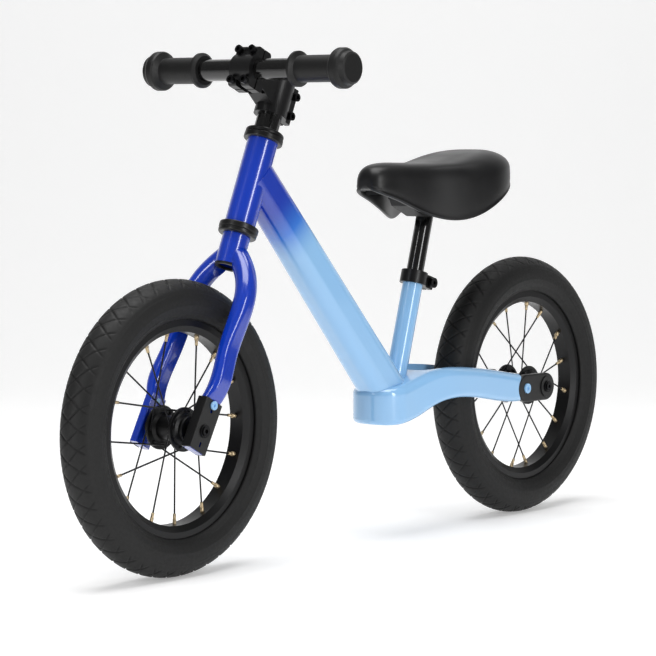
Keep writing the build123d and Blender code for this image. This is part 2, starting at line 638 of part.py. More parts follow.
with BuildPart() as stem_faceplate:
    bar_clamp_half(1)
    for up in (1, -1):
        for left in (1, -1):
            with Locations(head_plane):
                with Locations((STEM_REACH, left * EAR_Y, STEM_RISE + up * EAR_S)):
                    Cylinder(M5_RADIUS, 60, rotation=(0, 90, 0), mode=Mode.SUBTRACT)
stem_faceplate.part.label = "stem_faceplate"
export_step(stem_faceplate.part, "parts/stem_faceplate.step")


def socket_bolt(plane, shank, head_radius, head_height):
    """A socket cap bolt whose head stands on the plane and whose shank goes down from it."""
    with BuildSketch(plane) as head:
        Circle(head_radius)
    extrude(head.sketch, amount=head_height)
    with BuildSketch(plane) as thread:
        Circle(M5_RADIUS)
    extrude(thread.sketch, amount=-shank)
    with BuildSketch(plane.offset(head_height)) as socket:
        RegularPolygon(head_radius * 0.55, 6)
    extrude(socket.sketch, amount=-head_height * 0.6, mode=Mode.SUBTRACT)


with BuildPart() as faceplate_bolts:
    for up in (1, -1):
        for left in (1, -1):
            spot = to_head(STEM_REACH + EAR_X, left * EAR_Y, STEM_RISE + up * EAR_S)
            socket_bolt(Plane(origin=spot, x_dir=(0, 1, 0), z_dir=head_forward), 19, STEM_BOLT_RADIUS, 4.5)
faceplate_bolts.part.label = "faceplate_bolts"
export_step(faceplate_bolts.part, "parts/faceplate_bolts.step")

with BuildPart() as stem_clamp_bolts:
    for s in REAR_BOLT_S:
        spot = to_head(REAR_EAR_X, REAR_EAR_HALF, s)
        socket_bolt(Plane(origin=spot, x_dir=head_dir, z_dir=(0, 1, 0)), 17, STEM_BOLT_RADIUS, 4.5)
stem_clamp_bolts.part.label = "stem_clamp_bolts"
export_step(stem_clamp_bolts.part, "parts/stem_clamp_bolts.step")

CAP_HEIGHT = 3.2
NUT_S = 140
with BuildPart() as stem_top_cap:
    with BuildSketch(head_section(STEM_TOP)):
        Circle(STEM_CLAMP_RADIUS - 1)
        Circle(M5_RADIUS, mode=Mode.SUBTRACT)
    extrude(amount=CAP_HEIGHT)
    cap_circles = stem_top_cap.edges().filter_by(GeomType.CIRCLE).group_by(SortBy.RADIUS)[-1]
    fillet(cap_circles.sort_by(Axis.Z)[-1], radius=1.5)
stem_top_cap.part.label = "stem_top_cap"
export_step(stem_top_cap.part, "parts/stem_top_cap.step")
with BuildPart() as top_cap_bolt:
    socket_bolt(head_section(STEM_TOP + CAP_HEIGHT), STEM_TOP + CAP_HEIGHT - NUT_S + 4, 4.2, 3)
top_cap_bolt.part.label = "top_cap_bolt"
export_step(top_cap_bolt.part, "parts/top_cap_bolt.step")
with BuildPart() as star_nut:
    for s in (NUT_S, NUT_S + 7):
        with BuildSketch(head_section(s)):
            Circle(STEERER_BORE)
            with PolarLocations(STEERER_BORE, 6):
                Circle(2.2, mode=Mode.SUBTRACT)
        extrude(amount=1.2)
    with BuildSketch(head_section(NUT_S - 3)):
        Circle(5)
    extrude(amount=12)
    with BuildSketch(head_section(NUT_S - 4)):
        Circle(M5_RADIUS)
    extrude(amount=16, mode=Mode.SUBTRACT)
star_nut.part.label = "star_nut"
export_step(star_nut.part, "parts/star_nut.step")

with BuildPart() as handlebar:
    with BuildSketch(Plane.XZ):
        with Locations((bar_spot.X, bar_spot.Z)):
            Circle(HANDLEBAR_RADIUS)
            Circle(HANDLEBAR_RADIUS - HANDLEBAR_WALL, mode=Mode.SUBTRACT)
    extrude(amount=HANDLEBAR_LENGTH / 2, both=True)
handlebar.part.label = "handlebar"
export_step(handlebar.part, "parts/handlebar.step")

GRIP_END_Y = 134
GRIP_BODY_RADIUS = 13.6
GRIP_FLANGE_RADIUS = 18
GRIP_OUTER_RADIUS = 20.3
GRIP_START_Y = GRIP_END_Y - GRIP_LENGTH
bar_axis = Axis((bar_spot.X, 0, bar_spot.Z), (0, 1, 0))
for side, sign in SIDES:
    with BuildPart() as grip:
        with BuildSketch(Plane(origin=bar_spot, x_dir=(0, sign, 0), z_dir=(sign, 0, 0))):
            with BuildLine():
                Polyline(
                    (GRIP_START_Y, HANDLEBAR_RADIUS), (GRIP_START_Y, GRIP_FLANGE_RADIUS - 3),
                    (GRIP_START_Y + 2.5, GRIP_FLANGE_RADIUS), (GRIP_START_Y + 5.5, GRIP_FLANGE_RADIUS),
                    (GRIP_START_Y + 8, GRIP_BODY_RADIUS), (GRIP_END_Y - 21, GRIP_BODY_RADIUS),
                    (GRIP_END_Y - 18, GRIP_OUTER_RADIUS - 1), (GRIP_END_Y - 16, GRIP_OUTER_RADIUS),
                    (GRIP_END_Y - 10, GRIP_OUTER_RADIUS), (GRIP_END_Y - 7.5, GRIP_OUTER_RADIUS - 1.5),
                    (GRIP_END_Y - 6, 17), (GRIP_END_Y - 1.5, 16), (GRIP_END_Y, 14),
                    (GRIP_END_Y, 0), (HANDLEBAR_LENGTH / 2, 0),
                    (HANDLEBAR_LENGTH / 2, HANDLEBAR_RADIUS), close=True,
                )
            make_face()
        revolve(axis=bar_axis)
    grip.part.label = f"grip_{side}"
    export_step(grip.part, f"parts/grip_{side}.step")

# =====================================================================
# Wheels
# =====================================================================
HUB_FLANGE_Y = 15
HUB_FLANGE_HALF = 1.5
HUB_FLANGE_RADIUS = 22
HUB_SHELL_RADIUS = 12.5
HUB_END_RADIUS = 14
HUB_END_Y = 24
BEARING_INNER_Y = HUB_END_Y - BEARING_WIDTH
SPOKE_CIRCLE = 17.8
SPOKE_SPREAD = 2.1
SPOKE_RIM_Y = 1.6
SPOKE_RIM_RADIUS = 99
SPOKE_THICK = 0.9
SPOKE_ELBOW = 0.96
NIPPLE_RADIUS = 1.9
NIPPLE_INNER = 85
NIPPLE_HEAD_RADIUS = 3
RIM_BED_RADIUS = 95.5
RIM_SEAT_RADIUS = 98
TUBE_RADIUS = 17
TUBE_CENTRE = 124
TUBE_WALL = 1.1
TYRE_CENTRE = TYRE_OUTER_RADIUS - TYRE_SECTION_RADIUS
TYRE_INNER_RADIUS = 17.4
VALVE_RADIUS = 3.9
VALVE_TIP = 78
FRONT_VALVE_ANGLE = 144
REAR_VALVE_ANGLE = -2
HOLE_PITCH = 180 / SPOKES_PER_FLANGE


def wheel_point(x, angle, radius, y):
    """A point of a wheel at an angle from straight ahead, turning up and back."""
    turn = radians(angle)
    return Vector(x + radius * cos(turn), y, AXLE_HEIGHT + radius * sin(turn))


def spoke_ends(x, valve_angle, hole):
    """Where a spoke leaves the hub and where it meets the rim."""
    side = 1 if hole % 2 == 0 else -1
    lead = 1 if (hole // 2) % 2 == 0 else -1
    rim_angle = valve_angle + (hole + 0.5) * HOLE_PITCH
    hub_y = side * HUB_FLANGE_Y + lead * SPOKE_SPREAD
    hub = wheel_point(x, rim_angle - lead * 90, SPOKE_CIRCLE, hub_y)
    rim = wheel_point(x, rim_angle, SPOKE_RIM_RADIUS, side * SPOKE_RIM_Y)
    return hub, rim, lead


def rod(start, direction, radius, length):
    """A round rod from a point along a direction."""
    with Locations(Plane(origin=start, z_dir=direction)):
        Cylinder(radius, length, align=UP)


for name, x, valve_angle in (
    ("front", FRONT_AXLE_X, FRONT_VALVE_ANGLE), ("rear", REAR_AXLE_X, REAR_VALVE_ANGLE)
):
    hub_point = Vector(x, 0, AXLE_HEIGHT)
    wheel_axis = Axis(hub_point, (0, 1, 0))
    section_plane = Plane(origin=hub_point, x_dir=(0, 1, 0), z_dir=(1, 0, 0))
    valve_dir = wheel_point(0, valve_angle, 1, 0) - Vector(0, 0, AXLE_HEIGHT)

    with BuildPart() as spokes:
        for hole in range(2 * SPOKES_PER_FLANGE):
            hub_end, rim_end, lead = spoke_ends(x, valve_angle, hole)
            along = (rim_end - hub_end).normalized()
            rod(hub_end, along, SPOKE_THICK, (rim_end - hub_end).length)
            rod(hub_end, Vector(0, -lead, 0), SPOKE_THICK, 2 * SPOKE_SPREAD + 0.6)
            head_spot = hub_end - Vector(0, lead * (2 * SPOKE_SPREAD), 0)
            rod(head_spot, Vector(0, -lead, 0), 1.7, 0.9)
            with Locations(hub_end):
                Sphere(SPOKE_ELBOW)
    spokes.part.label = f"{name}_spokes"
    export_step(spokes.part, f"parts/{name}_spokes.step")

    with BuildPart() as nipples:
        for hole in range(2 * SPOKES_PER_FLANGE):
            hub_end, rim_end, lead = spoke_ends(x, valve_angle, hole)
            along = (rim_end - hub_end).normalized()
            back = SPOKE_RIM_RADIUS - NIPPLE_INNER
            rod(rim_end - along * back, along, NIPPLE_RADIUS, back + 1)
            rod(rim_end - along * 0.4, along, NIPPLE_HEAD_RADIUS, 1.4)
        add(spokes.part, mode=Mode.SUBTRACT)
    nipples.part.label = f"{name}_nipples"
    export_step(nipples.part, f"parts/{name}_nipples.step")

    with BuildPart() as rim:
        with BuildSketch(section_plane):
            with BuildLine():
                Polyline(
                    (-RIM_HALF_WIDTH, RIM_EDGE_RADIUS), (-RIM_HALF_WIDTH, 101.5), (-8.5, RIM_BED_RADIUS),
                    (8.5, RIM_BED_RADIUS), (RIM_HALF_WIDTH, 101.5), (RIM_HALF_WIDTH, RIM_EDGE_RADIUS),
                    (11, RIM_EDGE_RADIUS), (11, 103), (7.5, RIM_SEAT_RADIUS), (-7.5, RIM_SEAT_RADIUS),
                    (-11, 103), (-11, RIM_EDGE_RADIUS), close=True,
                )
            make_face()
        revolve(axis=wheel_axis)
        for hole in range(2 * SPOKES_PER_FLANGE):
            hub_end, rim_end, lead = spoke_ends(x, valve_angle, hole)
            along = (rim_end - hub_end).normalized()
            with Locations(Plane(origin=rim_end - along * 7, z_dir=along)):
                Cylinder(NIPPLE_RADIUS + 0.15, 6.6, align=UP, mode=Mode.SUBTRACT)
            with Locations(Plane(origin=rim_end - along * 0.4, z_dir=along)):
                Cylinder(NIPPLE_HEAD_RADIUS + 0.15, 8, align=UP, mode=Mode.SUBTRACT)
        with Locations(Plane(origin=hub_point + valve_dir * 90, z_dir=valve_dir)):
            Cylinder(VALVE_RADIUS + 0.1, 20, align=UP, mode=Mode.SUBTRACT)
    rim.part.label = f"{name}_rim"
    export_step(rim.part, f"parts/{name}_rim.step")

    with BuildPart() as tyre:
        with BuildSketch(section_plane):
            with BuildLine():
                for half in (1, -1):
                    # half the casing: bead, sidewall and tread, then back inside
                    Polyline(
                        (half * 8, 103.4), (half * 10.9, 103.4), (half * 10.9, 109),
                        (half * 13.6, 109),
                    )
                ThreePointArc((13.6, 109), (TYRE_SECTION_RADIUS, TYRE_CENTRE), (0, TYRE_OUTER_RADIUS))
                ThreePointArc((-13.6, 109), (-TYRE_SECTION_RADIUS, TYRE_CENTRE), (0, TYRE_OUTER_RADIUS))
                Line((8, 103.4), (8, 108.6))
                Line((-8, 103.4), (-8, 108.6))
                ThreePointArc((8, 108.6), (0, TUBE_CENTRE + TYRE_INNER_RADIUS), (-8, 108.6))
            make_face()
        revolve(axis=wheel_axis)
    tyre.part.label = f"{name}_tyre"
    export_step(tyre.part, f"parts/{name}_tyre.step")

    with BuildPart() as inner_tube:
        with BuildSketch(section_plane):
            with Locations((0, TUBE_CENTRE)):
                Circle(TUBE_RADIUS)
                Circle(TUBE_RADIUS - TUBE_WALL, mode=Mode.SUBTRACT)
        revolve(axis=wheel_axis)
        with Locations(Plane(origin=hub_point + valve_dir * 100, z_dir=valve_dir)):
            Cylinder(VALVE_RADIUS, 16, align=UP, mode=Mode.SUBTRACT)
    inner_tube.part.label = f"{name}_inner_tube"
    export_step(inner_tube.part, f"parts/{name}_inner_tube.step")

    with BuildPart() as valve:
        rod(hub_point + valve_dir * VALVE_TIP, valve_dir, VALVE_RADIUS - 0.1, 112 - VALVE_TIP)
        rod(hub_point + valve_dir * VALVE_TIP, valve_dir, VALVE_RADIUS, 8)
    valve.part.label = f"{name}_valve"
    export_step(valve.part, f"parts/{name}_valve.step")

    with BuildPart() as hub_shell:
        with BuildSketch(section_plane):
            with BuildLine():
                Polyline(
                    (0, AXLE_RADIUS + 1.5), (BEARING_INNER_Y, AXLE_RADIUS + 1.5),
                    (BEARING_INNER_Y, BEARING_OUTER_RADIUS), (HUB_END_Y, BEARING_OUTER_RADIUS),
                    (HUB_END_Y, HUB_END_RADIUS - 1), (HUB_END_Y - 1, HUB_END_RADIUS),
                    (20, HUB_END_RADIUS), (18.5, 17), (HUB_FLANGE_Y + HUB_FLANGE_HALF, 18),
                    (HUB_FLANGE_Y + HUB_FLANGE_HALF, HUB_FLANGE_RADIUS - 0.6),
                    (HUB_FLANGE_Y + HUB_FLANGE_HALF - 0.6, HUB_FLANGE_RADIUS),
                    (HUB_FLANGE_Y - HUB_FLANGE_HALF + 0.6, HUB_FLANGE_RADIUS),
                    (HUB_FLANGE_Y - HUB_FLANGE_HALF, HUB_FLANGE_RADIUS - 0.6),
                    (HUB_FLANGE_Y - HUB_FLANGE_HALF, 15.5), (11, HUB_SHELL_RADIUS), (0, HUB_SHELL_RADIUS),
                    close=True,
                )
            make_face()
        revolve(axis=wheel_axis)
        mirror(about=Plane.XZ)
        add(spokes.part, mode=Mode.SUBTRACT)
    hub_shell.part.label = f"{name}_hub_shell"
    export_step(hub_shell.part, f"parts/{name}_hub_shell.step")

    with BuildPart() as bearings:
        for side, sign in SIDES:
            with BuildSketch(Plane.XZ.offset(-sign * BEARING_INNER_Y)):
                with Locations((x, AXLE_HEIGHT)):
                    Circle(BEARING_OUTER_RADIUS)
                    Circle(BEARING_BORE_RADIUS, mode=Mode.SUBTRACT)
            extrude(amount=-sign * BEARING_WIDTH)
    bearings.part.label = f"{name}_bearings"
    export_step(bearings.part, f"parts/{name}_bearings.step")

# =====================================================================
# Seatpost and saddle
# =====================================================================
POST_BASE = 50
with BuildPart() as seatpost:
    with BuildSketch(seat_section(POST_BASE)):
        Circle(SEATPOST_RADIUS)
        Circle(SEATPOST_RADIUS - 1.6, mode=Mode.SUBTRACT)
    extrude(amount=SEATPOST_LENGTH)
seatpost.part.label = "seatpost"
export_step(seatpost.part, "parts/seatpost.step")

SADDLE_FLOOR_Z = 374
SADDLE_PLAN = [
    (SADDLE_NOSE_X, 0), (-11, 9), (-20, 17.5), (-40, 22.8), (-70, 27.8), (-99, 38.5), (-129, 54),
    (-158, SADDLE_HALF_WIDTH), (-188, 59), (-212, 46.5), (-225, 25), (SADDLE_TAIL_X, 0),
]
SADDLE_SECTIONS = (
    # from the origin, half width, low edge, high edge, crown radius
    (SADDLE_NOSE_X - 0.5, 7, 376, 388, 5),
    (-16, 15, 372, 398, 10),
    (-37, 22.5, 366, 403, 13),
    (-70, 28, 352.5, 403.5, 16),
    (-99, 38.5, 341.5, 404, 17),
    (-129, 54, 341, 406, 19),
    (-158, SADDLE_HALF_WIDTH, 354, 412, 20),
    (-188, 59, 369.5, 416.5, 18),
    (-212, 46.5, 381, 414, 14),
    (-225, 26.5, 388, 406, 8),
    (SADDLE_TAIL_X, 11, 391.5, 399, 3.5),
)
SKIRT_CORNER = 2
BASE_INSET = 6
BASE_THICK = 4


def saddle_plan(inset):
    """Half of the saddle's plan outline from nose to tail, drawn in by inset."""
    middle = (SADDLE_NOSE_X + SADDLE_TAIL_X) / 2
    shrink = 1 - inset / (SADDLE_NOSE_X - middle)
    return [(middle + (x - middle) * shrink, max(y - inset, 0)) for x, y in SADDLE_PLAN]


with BuildPart() as saddle_pad:
    for x, half, low, high, crown in SADDLE_SECTIONS:
        plane = Plane(origin=(x, 0, (low + high) / 2), x_dir=(0, 1, 0), z_dir=(1, 0, 0))
        with BuildSketch(plane) as section:
            Rectangle(2 * half, high - low)
            fillet(section.vertices().group_by(Axis.Y)[-1], radius=crown)
            fillet(section.vertices().group_by(Axis.Y)[0], radius=SKIRT_CORNER)
    loft()
    # hollow underneath that takes the base plate
    with BuildSketch(Plane.XY.offset(300)):
        with BuildLine():
            inner = Spline(*saddle_plan(BASE_INSET))
            mirror(inner, about=Plane.XZ)
        make_face()
    extrude(amount=SADDLE_FLOOR_Z - 300, mode=Mode.SUBTRACT)
saddle_pad.part.label = "saddle_pad"
export_step(saddle_pad.part, "parts/saddle_pad.step")

BASE_FRONT_X = -26
BASE_REAR_X = -196
FLANGE_THICK = 3
BASE_LOW_Z = SADDLE_FLOOR_Z - BASE_THICK
FLANGE_LOW_Z = BASE_LOW_Z - FLANGE_THICK
BRACKET_HALF = 12
BRACKET_PLAN_X = -111
BRACKET_PLAN_LONG = 78
BRACKET_PLAN_WIDE = 42
SADDLE_BOLT_X = (BRACKET_PLAN_X - 33, BRACKET_PLAN_X + 33)
SADDLE_BOLT_Y = 16.4

with BuildPart() as saddle_base:
    with BuildSketch(Plane.XY.offset(BASE_LOW_Z)):
        with BuildLine():
            outline = Spline(*saddle_plan(BASE_INSET + 0.4))
            mirror(outline, about=Plane.XZ)
        make_face()
        with Locations(((BASE_FRONT_X + BASE_REAR_X) / 2, 0)):
            Rectangle(BASE_FRONT_X - BASE_REAR_X, 200, mode=Mode.INTERSECT)
    extrude(amount=BASE_THICK)
    with Locations([(x, y, BASE_LOW_Z) for x in SADDLE_BOLT_X for y in (SADDLE_BOLT_Y, -SADDLE_BOLT_Y)]):
        Cylinder(M5_RADIUS, 20, mode=Mode.SUBTRACT)
saddle_base.part.label = "saddle_base"
export_step(saddle_base.part, "parts/saddle_base.step")

with BuildPart() as saddle_bracket:
    with BuildSketch(Plane.XZ):
        with BuildLine():
            Polyline(
                (-66, FLANGE_LOW_Z), (-72, 357), (-99, 345), (-131, 345), (-146, FLANGE_LOW_Z), close=True,
            )
        make_face()
    extrude(amount=BRACKET_HALF, both=True)
    with BuildSketch(Plane.XY.offset(FLANGE_LOW_Z)):
        with Locations((BRACKET_PLAN_X, 0)):
            RectangleRounded(BRACKET_PLAN_LONG, BRACKET_PLAN_WIDE, 6)
    extrude(amount=FLANGE_THICK)
    with BuildSketch(seat_section(POST_BASE)):
        Circle(SEATPOST_RADIUS)
    extrude(amount=SEATPOST_LENGTH, mode=Mode.SUBTRACT)
    with Locations([(x, y, BASE_LOW_Z) for x in SADDLE_BOLT_X for y in (SADDLE_BOLT_Y, -SADDLE_BOLT_Y)]):
        Cylinder(M5_RADIUS, 20, mode=Mode.SUBTRACT)
saddle_bracket.part.label = "saddle_bracket"
export_step(saddle_bracket.part, "parts/saddle_bracket.step")

with BuildPart() as saddle_bolts:
    for x in SADDLE_BOLT_X:
        for y in (SADDLE_BOLT_Y, -SADDLE_BOLT_Y):
            low = Plane(origin=(x, y, FLANGE_LOW_Z), z_dir=(0, 0, -1))
            socket_bolt(low, FLANGE_THICK + BASE_THICK, 4, 3)
saddle_bolts.part.label = "saddle_bolts"
export_step(saddle_bolts.part, "parts/saddle_bolts.step")
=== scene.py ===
"""Balance bike: finishes, soft saddle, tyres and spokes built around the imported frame."""

import math

import bpy
import numpy as np
from bpy.props import FloatProperty, FloatVectorProperty, IntProperty, PointerProperty
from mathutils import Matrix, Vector


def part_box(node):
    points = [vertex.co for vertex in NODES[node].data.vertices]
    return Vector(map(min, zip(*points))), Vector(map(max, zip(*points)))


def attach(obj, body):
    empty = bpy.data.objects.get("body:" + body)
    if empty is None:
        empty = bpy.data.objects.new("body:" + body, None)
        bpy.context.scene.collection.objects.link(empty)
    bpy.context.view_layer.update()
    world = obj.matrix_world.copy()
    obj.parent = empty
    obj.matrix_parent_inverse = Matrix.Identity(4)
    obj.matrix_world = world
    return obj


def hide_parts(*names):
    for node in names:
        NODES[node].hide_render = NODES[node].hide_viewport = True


bl_info = {
    "name": "Balance Bike Looks",
    "version": (1, 0, 0),
    "blender": (4, 5, 0),
    "location": "3D View > Sidebar > Bike",
    "description": "Builds the saddle, tyres, spokes and finishes of a balance bike",
    "category": "Object",
}

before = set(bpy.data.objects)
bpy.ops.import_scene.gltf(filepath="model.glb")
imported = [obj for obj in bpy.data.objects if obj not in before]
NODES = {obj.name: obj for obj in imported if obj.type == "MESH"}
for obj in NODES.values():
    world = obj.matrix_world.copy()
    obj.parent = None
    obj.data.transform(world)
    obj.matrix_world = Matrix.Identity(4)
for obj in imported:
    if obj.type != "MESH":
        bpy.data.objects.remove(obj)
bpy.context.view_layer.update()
MM = 0.001
WHEELS = ("front", "rear")


def centre_of(name):
    """Middle of a CAD node's box."""
    low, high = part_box(name)
    return (low + high) / 2


def radius_of(name):
    """Outside radius of a wheel-shaped CAD node, about the axle."""
    low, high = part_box(name)
    return (high.z - low.z) / 2


WHEEL_CENTRE = {wheel: centre_of(f"{wheel}_tyre") for wheel in WHEELS}
TYRE_RADIUS = radius_of("front_tyre")
TYRE_HALF_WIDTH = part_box("front_tyre")[1].y
CASING_CENTRE = TYRE_RADIUS - TYRE_HALF_WIDTH
RIM_RADIUS = radius_of("front_rim")


def linear(hex_colour):
    """An sRGB hex colour as linear RGBA."""
    parts = [int(hex_colour[i:i + 2], 16) / 255 for i in (1, 3, 5)]
    return tuple(c / 12.92 if c <= 0.04045 else ((c + 0.055) / 1.055) ** 2.4 for c in parts) + (1.0,)


# ---------------------------------------------------------------------------
# What a user would change
# ---------------------------------------------------------------------------
def colour(name, description, default):
    """A colour property with an sRGB hex default."""
    return FloatVectorProperty(
        name=name, description=description, subtype="COLOR", size=4, min=0, max=1,
        default=linear(default),
    )


def length(name, description, default):
    """A length property, in metres."""
    return FloatProperty(
        name=name, description=description, subtype="DISTANCE", unit="LENGTH", default=default,
        precision=5,
    )


class BikePaint(bpy.types.PropertyGroup):
    """The sprayed colours of the frame and fork."""

    royal: colour("Royal blue", "Colour of the fork, head tube and top of the down tube", "#0433AA")
    mist: colour("Mist blue", "Colour half way through the fade", "#2F74D2")
    sky: colour("Sky blue", "Colour of the lower frame", "#8EBFEA")
    fade_start: length("Fade start", "Distance down the tube where the royal blue starts to thin", 0.046)
    fade_end: length("Fade end", "Distance down the tube where only sky blue is left", 0.122)


class BikeTyre(bpy.types.PropertyGroup):
    """The tread and sidewall of the tyres."""

    grooves: IntProperty(name="Grooves", description="Diagonal grooves round the tyre, each way", default=46)
    depth: length("Groove depth", "How deep the diagonal grooves are", 0.9 * MM)
    width: length("Groove width", "How wide the diagonal grooves are", 1.5 * MM)
    tread_half: length("Tread half width", "From the middle line to where the grooves end", 17.5 * MM)
    rubber: colour("Rubber", "Colour of the tyre rubber", "#171717")


class BikeWheel(bpy.types.PropertyGroup):
    """The spokes and nipples."""

    spoke_radius: length("Spoke radius", "Half the thickness of the wire", 0.9 * MM)
    nipple_radius: length("Nipple radius", "Half the thickness of a nipple's barrel", 1.9 * MM)
    nipple_length: length("Nipple length", "How far a nipple reaches in from the rim", 13.5 * MM)
    brass: colour("Brass", "Colour of the dulled brass nipples", "#CDB894")


class BikeSaddle(bpy.types.PropertyGroup):
    """The padded saddle."""

    puff: length("Puff", "How far the foam may swell past its drawn shape", 2.5 * MM)
    skin: colour("Skin", "Colour of the saddle cover", "#111112")


class BikeStage(bpy.types.PropertyGroup):
    """Camera, floor and light."""

    lens: FloatProperty(
        name="Lens", description="Focal length of the camera", subtype="DISTANCE_CAMERA", default=147.1)
    power: FloatProperty(
        name="Light power", description="Power of the overhead light", unit="POWER", default=46.0)


# ---------------------------------------------------------------------------
# Shader building
# ---------------------------------------------------------------------------
def node(tree, kind, inputs=(), **settings):
    """Adds a node with its settings; each input takes a plain value or another node's socket."""
    made = tree.nodes.new(kind)
    for key, value in settings.items():
        setattr(made, key, value)
    for key, value in dict(inputs).items():
        if isinstance(value, bpy.types.NodeSocket):
            tree.links.new(value, made.inputs[key])
        else:
            made.inputs[key].default_value = value
    return made


def new_material(name):
    """An empty node material and its tree."""
    made = bpy.data.materials.new(name)
    made.use_nodes = True
    made.node_tree.nodes.clear()
    return made, made.node_tree


def surface(tree, inputs):
    """The principled shader with the given inputs, joined to the output."""
    shader = node(tree, "ShaderNodeBsdfPrincipled", inputs)
    node(tree, "ShaderNodeOutputMaterial", {"Surface": shader.outputs["BSDF"]})


def grain(tree, size, depth, stretch=(1, 1, 1)):
    """Fine noise, `size` metres from bump to bump: its value, and a bump `depth` metres deep."""
    place = node(tree, "ShaderNodeTexCoord")
    fit = node(tree, "ShaderNodeMapping", {"Vector": place.outputs["Object"], "Scale": stretch})
    noise = node(
        tree, "ShaderNodeTexNoise", {"Vector": fit.outputs["Vector"], "Scale": 1 / size, "Detail": 2.0},
    )
    bump = node(tree, "ShaderNodeBump", {"Height": noise.outputs["Fac"], "Distance": depth})
    return noise.outputs["Fac"], bump.outputs["Normal"]


def between(tree, value, low, high):
    """Maps a noise value onto a range."""
    spread = node(
        tree, "ShaderNodeMapRange",
        {"Value": value, "From Min": 0.3, "From Max": 0.7, "To Min": low, "To Max": high},
    )
    return spread.outputs["Result"]


def plain_finish(name, colour_value, metallic, roughness, size, depth, stretch=(1, 1, 1), **extra):
    """A material of one colour whose roughness and bump follow its own grain, and whose colour drifts
    a little with it."""
    made, tree = new_material(name)
    fac, normal = grain(tree, size, depth, stretch)
    ramp = node(tree, "ShaderNodeValToRGB", {"Fac": fac})
    for element, share in zip(ramp.color_ramp.elements, (0.82, 1.18)):
        element.color = tuple(min(c * share, 1) for c in colour_value[:3]) + (1,)
    inputs = {
        "Base Color": ramp.outputs["Color"], "Metallic": metallic,
        "Roughness": between(tree, fac, roughness * 0.85, roughness * 1.15), "Normal": normal,
    }
    inputs.update({key.replace("_", " "): value for key, value in extra.items()})
    surface(tree, inputs)
    return made


DOWN_TUBE_SLOPE = math.radians(47.7)
DOWN_DIRECTION = Vector((-math.cos(DOWN_TUBE_SLOPE), 0, -math.sin(DOWN_TUBE_SLOPE)))


def two_tone_powder_coat(paint):
    """Powder coated steel, royal blue misted into sky blue: a deep wet gloss with the faint orange
    peel of baked powder, and no hard line between the colours."""
    made, tree = new_material("powder_coated_steel_two_tone")
    place = node(tree, "ShaderNodeTexCoord")
    along = node(
        tree, "ShaderNodeVectorMath", {0: place.outputs["Object"], 1: DOWN_DIRECTION},
        operation="DOT_PRODUCT",
    )
    tube_top = DOWN_DIRECTION.dot(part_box("down_tube")[1])
    fade = node(
        tree, "ShaderNodeMapRange",
        {"Value": along.outputs["Value"], "From Min": tube_top + paint.fade_start,
         "From Max": tube_top + paint.fade_end},
        interpolation_type="SMOOTHSTEP",
    )
    ramp = node(tree, "ShaderNodeValToRGB", {"Fac": fade.outputs["Result"]})
    ramp.color_ramp.elements.new(0.5)
    for element, tone in zip(ramp.color_ramp.elements, (paint.royal, paint.mist, paint.sky)):
        element.color = tone
    # orange peel a few millimetres across, a hundredth of a millimetre deep
    fac, normal = grain(tree, 2.2 * MM, 0.01 * MM)
    surface(tree, {
        "Base Color": ramp.outputs["Color"], "Normal": normal, "Roughness": between(tree, fac, 0.2, 0.26),
        "Coat Weight": 1.0, "Coat Roughness": 0.03,
    })
    return made


def moulded_tyre_rubber(tyre):
    """Moulded tyre rubber: soft black that greys at a glancing angle, with the fine rings that the mould
    leaves on the sidewall, and painted shade that darkens the grooves."""
    made, tree = new_material("moulded_tyre_rubber")
    fac, _ = grain(tree, 3.5 * MM, 0.03 * MM)
    cut = node(tree, "ShaderNodeAttribute", attribute_name="groove")
    ring = node(tree, "ShaderNodeAttribute", attribute_name="across")
    # rings 1.2 mm apart across the sidewall
    wave = node(
        tree, "ShaderNodeMath", {0: ring.outputs["Fac"], 1: math.tau / (1.2 * MM)}, operation="MULTIPLY",
    )
    ripple = node(tree, "ShaderNodeMath", {0: wave.outputs[0]}, operation="SINE")
    side = node(
        tree, "ShaderNodeMapRange",
        {"Value": ring.outputs["Fac"], "From Min": tyre.tread_half, "From Max": tyre.tread_half * 1.25},
    )
    height = node(
        tree, "ShaderNodeMath", {0: ripple.outputs[0], 1: side.outputs["Result"]}, operation="MULTIPLY",
    )
    rough = node(tree, "ShaderNodeMath", {0: fac, 1: 0.6, 2: height.outputs[0]}, operation="MULTIPLY_ADD")
    bump = node(tree, "ShaderNodeBump", {"Height": rough.outputs[0], "Distance": 0.035 * MM})
    # painted shade: the grooves are coloured darker than the rubber, as if shade lay in them
    ramp = node(tree, "ShaderNodeValToRGB", {"Fac": cut.outputs["Fac"]})
    ramp.color_ramp.elements[0].color = tyre.rubber
    ramp.color_ramp.elements[1].color = linear("#060606")
    surface(tree, {
        "Base Color": ramp.outputs["Color"], "Roughness": between(tree, fac, 0.5, 0.62),
        "Normal": bump.outputs["Normal"], "Specular IOR Level": 0.3,
    })
    return made


